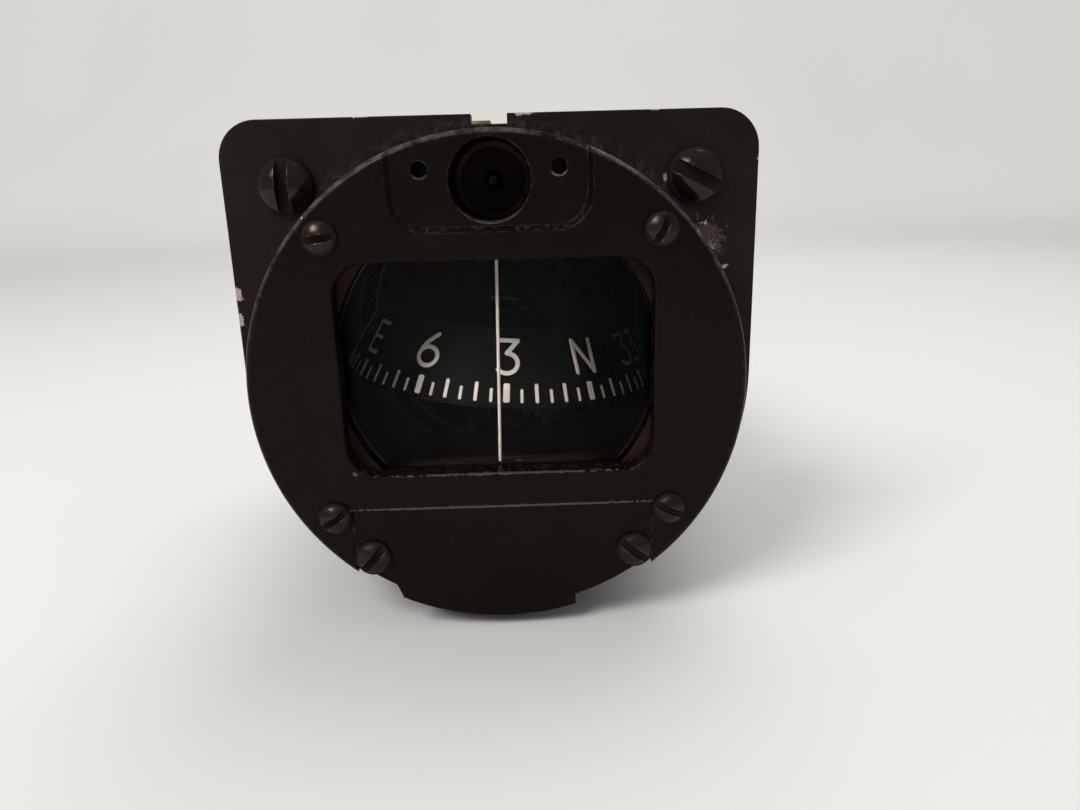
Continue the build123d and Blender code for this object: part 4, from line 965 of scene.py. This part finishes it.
BEZEL_MARKS = {
    "chips": [
        ((32.6, -5.5, 20.8), (4.0, 3.0, 6.5), 0.28, 0.34),
        ((30.6, -7.4, 23.2), (2.0, 1.2, 2.0), 0.3, 0.42),
        ((36.2, -6.5, 12.0), (1.8, 2.0, 6.0), 0.28, 0.35),
        ((-27.6, -7.6, 27.0), (0.7, 0.8, 0.7), 0.4, 0.44),
        ((-18.4, -7.4, -33.6), (2.0, 1.4, 1.2), 0.5, 0.38),
    ],
    "rubs_and_highlights": [
        # painted highlights: the cover's top edge, then the window's bottom edge and its lower left corner
        (0.5, (0.15, 0.11, 0.085), ((0.0, -8.0, -19.12), (26.0, 0.5, 0.22), 0.5, 0.78)),
        (0.55, (0.085, 0.10, 0.075), ((1.0, -7.9, -13.55), (24.0, 0.8, 0.30), 0.7, 0.62)),
        (0.5, (0.20, 0.17, 0.14), ((-23.2, -7.9, -12.9), (1.0, 0.8, 1.0), 0.4, 0.46)),
    ],
    "bands_and_highlights": [
        # painted highlight along the upper rim, laid on as rubbed paint
        (0.62, (0.17, 0.16, 0.155), (38.45, 39.5, 0.35, 6, 24, 2.6, 0.54)),
        (0.3, (0.10, 0.07, 0.05), (38.2, 39.5, 0.4, -38, -10, 0.8, 0.40)),
        # painted highlights on the lower rims of the lamp hole and of the two small holes
        (0.7, (0.16, 0.15, 0.13), (LAMP_RIM, LAMP_RIM + 0.3, 0.15, -3.5, -6.5, 2.0, 0.62, LAMP_AXIS)),
        (0.8, (0.22, 0.20, 0.17), (1.15, 1.4, 0.12, -0.4, -1.3, 1.0, 0.62, RIGHT_HOLE)),
        (0.3, (0.22, 0.20, 0.17), (1.15, 1.4, 0.12, -0.4, -1.3, 1.0, 0.62, LEFT_HOLE)),
    ],
}


class COMPASS_OT_case(bpy.types.Operator):
    """Satin black paint on the casting and the rear cover, chipped and dusty"""

    bl_idname = "compass.case"
    bl_label = "Case"

    def execute(self, context):
        colours = context.scene.compass_paint
        paint = painted(
            "case_enamel", colours.case_paint, colours, 0.40, 0.55, 0.028, 0.42, 1.6, 0.4, CASE_MARKS, 0.14
        )
        dress(paint, "case", "rear_cover")
        return {"FINISHED"}


class COMPASS_OT_bezel(bpy.types.Operator):
    """Smoother black paint on the bezel and the compensator cover, with painted highlights on the upper rim and along
    the edges of the window, the cover and the holes
    """

    bl_idname = "compass.bezel"
    bl_label = "Bezel"

    def execute(self, context):
        colours = context.scene.compass_paint
        paint = painted(
            "bezel_enamel", colours.bezel_paint, colours, 0.28, 0.4, 0.008, 0.5, 1.0, 0.25, BEZEL_MARKS, 0.09
        )
        dress(paint, "bezel", "compensator_cover")
        return {"FINISHED"}


def arc_bead(bm, radius, centre_z, y, half_width, start, end, steps=36):
    """A thin bead with tapered closed ends along an arc about the Y axis."""
    rings = []
    for i in range(steps + 1):
        turn = start + (end - start) * i / steps
        size = half_width * (0.15 if i in (0, steps) else 1.0)
        ring = []
        for k in range(RING_SIDES):
            a = radians(360 * k / RING_SIDES)
            out = radius + size * cos(a)
            ring.append(bm.verts.new((out * cos(turn), y + size * sin(a), centre_z + out * sin(turn))))
        rings.append(ring)
    for one, two in zip(rings, rings[1:]):
        for k in range(RING_SIDES):
            n = (k + 1) % RING_SIDES
            bm.faces.new((one[k], one[n], two[n], two[k]))
    bm.faces.new(rings[0])
    bm.faces.new(list(reversed(rings[-1])))


class COMPASS_OT_window(bpy.types.Operator):
    """Glass, brown gaskets with a light bead of painted highlight along their round inner sides, and the white lubber
    line
    """

    bl_idname = "compass.window"
    bl_label = "Window"

    # the lip is a light bead that paints the highlight along the gasket's inner edge
    lip: length_property("Lip", "Half the width of the gasket's bright inner lip", 0.11)
    land: length_property("Land", "How far the gasket covers the glass at its round sides", 2.2)
    land_height: length_property("Land height", "How far the gasket covers the glass above and below", 2.6)

    def execute(self, context):
        colours = context.scene.compass_paint
        dress(window_glass("clear_glass"), "glass")
        brown = plain_stuff(
            "gasket_brown", colours.gasket, [c * 0.6 for c in colours.gasket], 3.0, 0.3, 0.02, 0.75
        )
        dress(brown, "front_gasket", "rear_gasket", "filler_washer", "rear_end_gasket")
        white = plain_stuff("line_paint", colours.marks, [c * 0.9 for c in colours.marks], 2.0, 0.15, 0.006, 0.5)
        dress(white, "lubber_line")
        low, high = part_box("glass")
        # the gasket's opening follows the glass, a land narrower all round
        glass_r = (high.x - low.x) / 2
        half_height = (high.z - low.z) / 2
        centre_z = (high.z + low.z) / 2
        radius = glass_r - self.land - self.lip
        corner = asin((half_height - self.land_height - self.lip) / radius)
        bm = bmesh.new()
        for side in (0, radians(180)):
            arc_bead(bm, radius, centre_z, high.y + 1.6 * self.lip, self.lip, side - corner, side + corner)
        bmesh.ops.recalc_face_normals(bm, faces=bm.faces)
        mesh = bpy.data.meshes.new("window_lip_highlight")
        bm.to_mesh(mesh)
        bm.free()
        # painted highlight: a light colour on the bead along the gasket's round sides
        lip = plain_stuff("lip_highlight_paint", (0.42, 0.31, 0.25), (0.24, 0.16, 0.12), 1.2, 0.2, 0.01, 0.45)
        mesh.materials.append(lip)
        keep_piece("window_lip_highlight", mesh, "body")
        return {"FINISHED"}


class COMPASS_OT_card(bpy.types.Operator):
    """Matt black card and float, with its magnets and the pivot's jewel"""

    bl_idname = "compass.card"
    bl_label = "Card and pivot"

    def execute(self, context):
        colours = context.scene.compass_paint
        black = plain_stuff("card_lacquer", colours.card, [c * 1.5 for c in colours.card], 4.0, 0.2, 0.01, 0.62, 0.08, 0.05)
        dress(black, "card_skirt", "card_web")
        shell = plain_stuff("float_lacquer", [c * 2 for c in colours.card], colours.card, 3.0, 0.2, 0.006, 0.5, 0.08, 0.06)
        dress(shell, "card_float")
        magnet = worn_steel("magnet_steel", colours, (0.24, 0.24, 0.26), (0.42, 0.42, 0.45), 0.32, 0.3)
        dress(magnet, "card_magnets", *[f"{way}_{level}_magnets" for way in ("ns", "ew") for level in ("upper", "lower")])
        gem = plain_stuff("jewel_stone", (0.50, 0.10, 0.20), (0.36, 0.06, 0.14), 0.8, 0.3, 0.0005, 0.1)
        dress(gem, "jewel")
        return {"FINISHED"}


class COMPASS_OT_brass(bpy.types.Operator):
    """Brass of the lamp housing, the pivot post, the compensator and the plugs"""

    bl_idname = "compass.brass"
    bl_label = "Brass pieces"

    def execute(self, context):
        colours = context.scene.compass_paint
        bright = brass("turned_brass", colours.brass, colours.tarnish, 0.28, 0.35)
        worn = brass("aged_brass", [c * 0.8 for c in colours.brass], colours.tarnish, 0.38, 0.8)
        dress(worn, "earth_strip", "filler_plug", "mounting_inserts")
        gears = [f"{way}_{piece}" for way in ("ns", "ew") for piece in ("spindle", "upper_wheel", "lower_wheel")]
        dress(bright, "compensator_block", "compensator_frame", "wheel_spacers", *gears)
        blacked = brass("blacked_brass", colours.blacked, [c * 0.5 for c in colours.blacked], 0.42, 0.5)
        dress(blacked, "lamp_sleeve", "lamp_contact", "lubber_clip", "pivot_hub", "hub_nut", "magnet_bridge")
        dress(blacked, "pivot_post", "post_collar", "jewel_holder")
        sheet = brass("blacked_bronze", (0.022, 0.015, 0.011), (0.010, 0.007, 0.005), 0.55, 0.4)
        dress(sheet, "diaphragm")
        board = plain_stuff("fibre_board", (0.022, 0.010, 0.006), (0.014, 0.007, 0.004), 1.5, 0.15, 0.01, 0.7)
        dress(board, "lamp_insulator")
        return {"FINISHED"}


# Studio

def area_lamp(name, place, target, size, power):
    """A soft square lamp that shines at a point."""
    data = bpy.data.lights.new(name, "AREA")
    data.size = size
    data.energy = power
    lamp = bpy.data.objects.new(name, data)
    lamp.location = place
    lamp.rotation_euler = (Vector(target) - Vector(place)).to_track_quat("-Z", "Y").to_euler()
    bpy.context.scene.collection.objects.link(lamp)
    return lamp


def sweep_mesh(width, front, back, rise, bend, floor_z, steps=16):
    """A floor that turns up behind in one sheet."""
    turns = [radians(90 * i / steps) for i in range(steps + 1)]
    profile = [(front, floor_z)]
    profile += [(back + bend * sin(a), floor_z + bend * (1 - cos(a))) for a in turns]
    profile.append((back + bend, floor_z + rise))
    mesh = bpy.data.meshes.new("sweep")
    verts = [(x, y, z) for y, z in profile for x in (-width / 2, width / 2)]
    faces = [(2 * i, 2 * i + 1, 2 * i + 3, 2 * i + 2) for i in range(len(profile) - 1)]
    mesh.from_pydata(verts, [], faces)
    for face in mesh.polygons:
        face.use_smooth = True
    return mesh


class COMPASS_OT_stage(bpy.types.Operator):
    """Pale floor and backdrop, soft lamps and the camera"""

    bl_idname = "compass.stage"
    bl_label = "Stage"

    def execute(self, context):
        stage = context.scene.compass_stage
        floor_z = cad_box[0].z
        mesh = sweep_mesh(stage.floor_width, -stage.floor_width / 2, stage.backdrop_back, 1.6, 0.5, floor_z)
        paper = bpy.data.materials.new("studio_paper")
        paper.use_nodes = True
        tree = paper.node_tree
        vector = tree.nodes.new("ShaderNodeTexCoord").outputs["Object"]
        tone = ramp(tree, noise(tree, vector, 0.35, 3.0, 0.5), 0.3, 0.7)
        colour = mix_colour(tree, tone, four(stage.floor), four([c * 0.97 for c in stage.floor]))
        shader = tree.nodes["Principled BSDF"]
        tree.links.new(colour, shader.inputs["Base Color"])
        shader.inputs["Roughness"].default_value = 0.9
        shader.inputs["Specular IOR Level"].default_value = 0.1
        # the far end is paler to the eye, in mirrors and through glass, and lights nothing
        depth = add_node(tree, "ShaderNodeSeparateXYZ", {0: vector}).outputs["Y"]
        path = tree.nodes.new("ShaderNodeLightPath").outputs
        seen = sum_up(tree, "MAXIMUM", path["Is Camera Ray"], path["Is Glossy Ray"])
        seen = sum_up(tree, "MAXIMUM", seen, path["Is Transmission Ray"])
        pale = sum_up(tree, "MULTIPLY", ramp(tree, depth, 0.25, stage.backdrop_back + 0.3, 0.0, 0.38), seen)
        tree.links.new(colour, shader.inputs["Emission Color"])
        tree.links.new(pale, shader.inputs["Emission Strength"])
        mesh.materials.append(paper)
        sheet = bpy.data.objects.new("studio_floor", mesh)
        context.scene.collection.objects.link(sheet)
        middle = (cad_box[0] + cad_box[1]) / 2
        area_lamp("key_lamp", (-0.42, -0.48, 0.62), middle, 0.34, stage.key_power)
        area_lamp("top_lamp", (0.18, 0.34, 0.70), middle, 0.6, stage.top_power)
        world = bpy.data.worlds.new("studio_room")
        world.use_nodes = True
        background = world.node_tree.nodes["Background"]
        background.inputs["Color"].default_value = (1.0, 0.985, 0.96, 1.0)
        background.inputs["Strength"].default_value = stage.fill
        context.scene.world = world
        context.scene.view_settings.view_transform = "Standard"
        camera = bpy.data.objects.new("camera", bpy.data.cameras.new("camera"))
        camera.data.lens = SENSOR_WIDTH * stage.focal / PHOTO_WIDTH
        camera.data.sensor_width = SENSOR_WIDTH
        camera.data.clip_start = 0.01
        turn = Euler((0, 0, stage.camera_yaw)).to_matrix().to_4x4()
        look = Matrix.Rotation(radians(90) - stage.camera_pitch, 4, "X")
        roll = Matrix.Rotation(stage.camera_roll, 4, "Z")
        camera.matrix_world = Matrix.Translation(Vector(stage.camera_place)) @ turn @ look @ roll
        context.scene.collection.objects.link(camera)
        context.scene.camera = camera
        return {"FINISHED"}


class COMPASS_PT_panel(bpy.types.Panel):
    """The compass's settings and steps"""

    bl_idname = "COMPASS_PT_panel"
    bl_label = "Standby compass"
    bl_space_type = "VIEW_3D"
    bl_region_type = "UI"
    bl_category = "Compass"

    def draw(self, context):
        layout = self.layout
        for step in STEPS:
            layout.operator(step.bl_idname)
        for name in SETTINGS:
            box = layout.box()
            settings = getattr(context.scene, name)
            for key in settings.__annotations__:
                box.prop(settings, key)


SETTINGS = {
    "compass_card": CompassCardSettings,
    "compass_paint": CompassPaintSettings,
    "compass_stage": CompassStageSettings,
}
STEPS = (
    COMPASS_OT_stage,
    COMPASS_OT_case,
    COMPASS_OT_bezel,
    COMPASS_OT_window,
    COMPASS_OT_card,
    COMPASS_OT_card_marks,
    COMPASS_OT_brass,
    COMPASS_OT_fasteners,
)


def register():
    for settings in SETTINGS.values():
        bpy.utils.register_class(settings)
    for name, settings in SETTINGS.items():
        setattr(bpy.types.Scene, name, PointerProperty(type=settings))
    for step in STEPS:
        bpy.utils.register_class(step)
    bpy.utils.register_class(COMPASS_PT_panel)


def unregister():
    bpy.utils.unregister_class(COMPASS_PT_panel)
    for step in reversed(STEPS):
        bpy.utils.unregister_class(step)
    for name, settings in SETTINGS.items():
        delattr(bpy.types.Scene, name)
        bpy.utils.unregister_class(settings)


def main():
    """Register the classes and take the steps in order."""
    register()
    for step in STEPS:
        group, name = step.bl_idname.split(".")
        getattr(getattr(bpy.ops, group), name)()


if __name__ == "__main__":
    main()
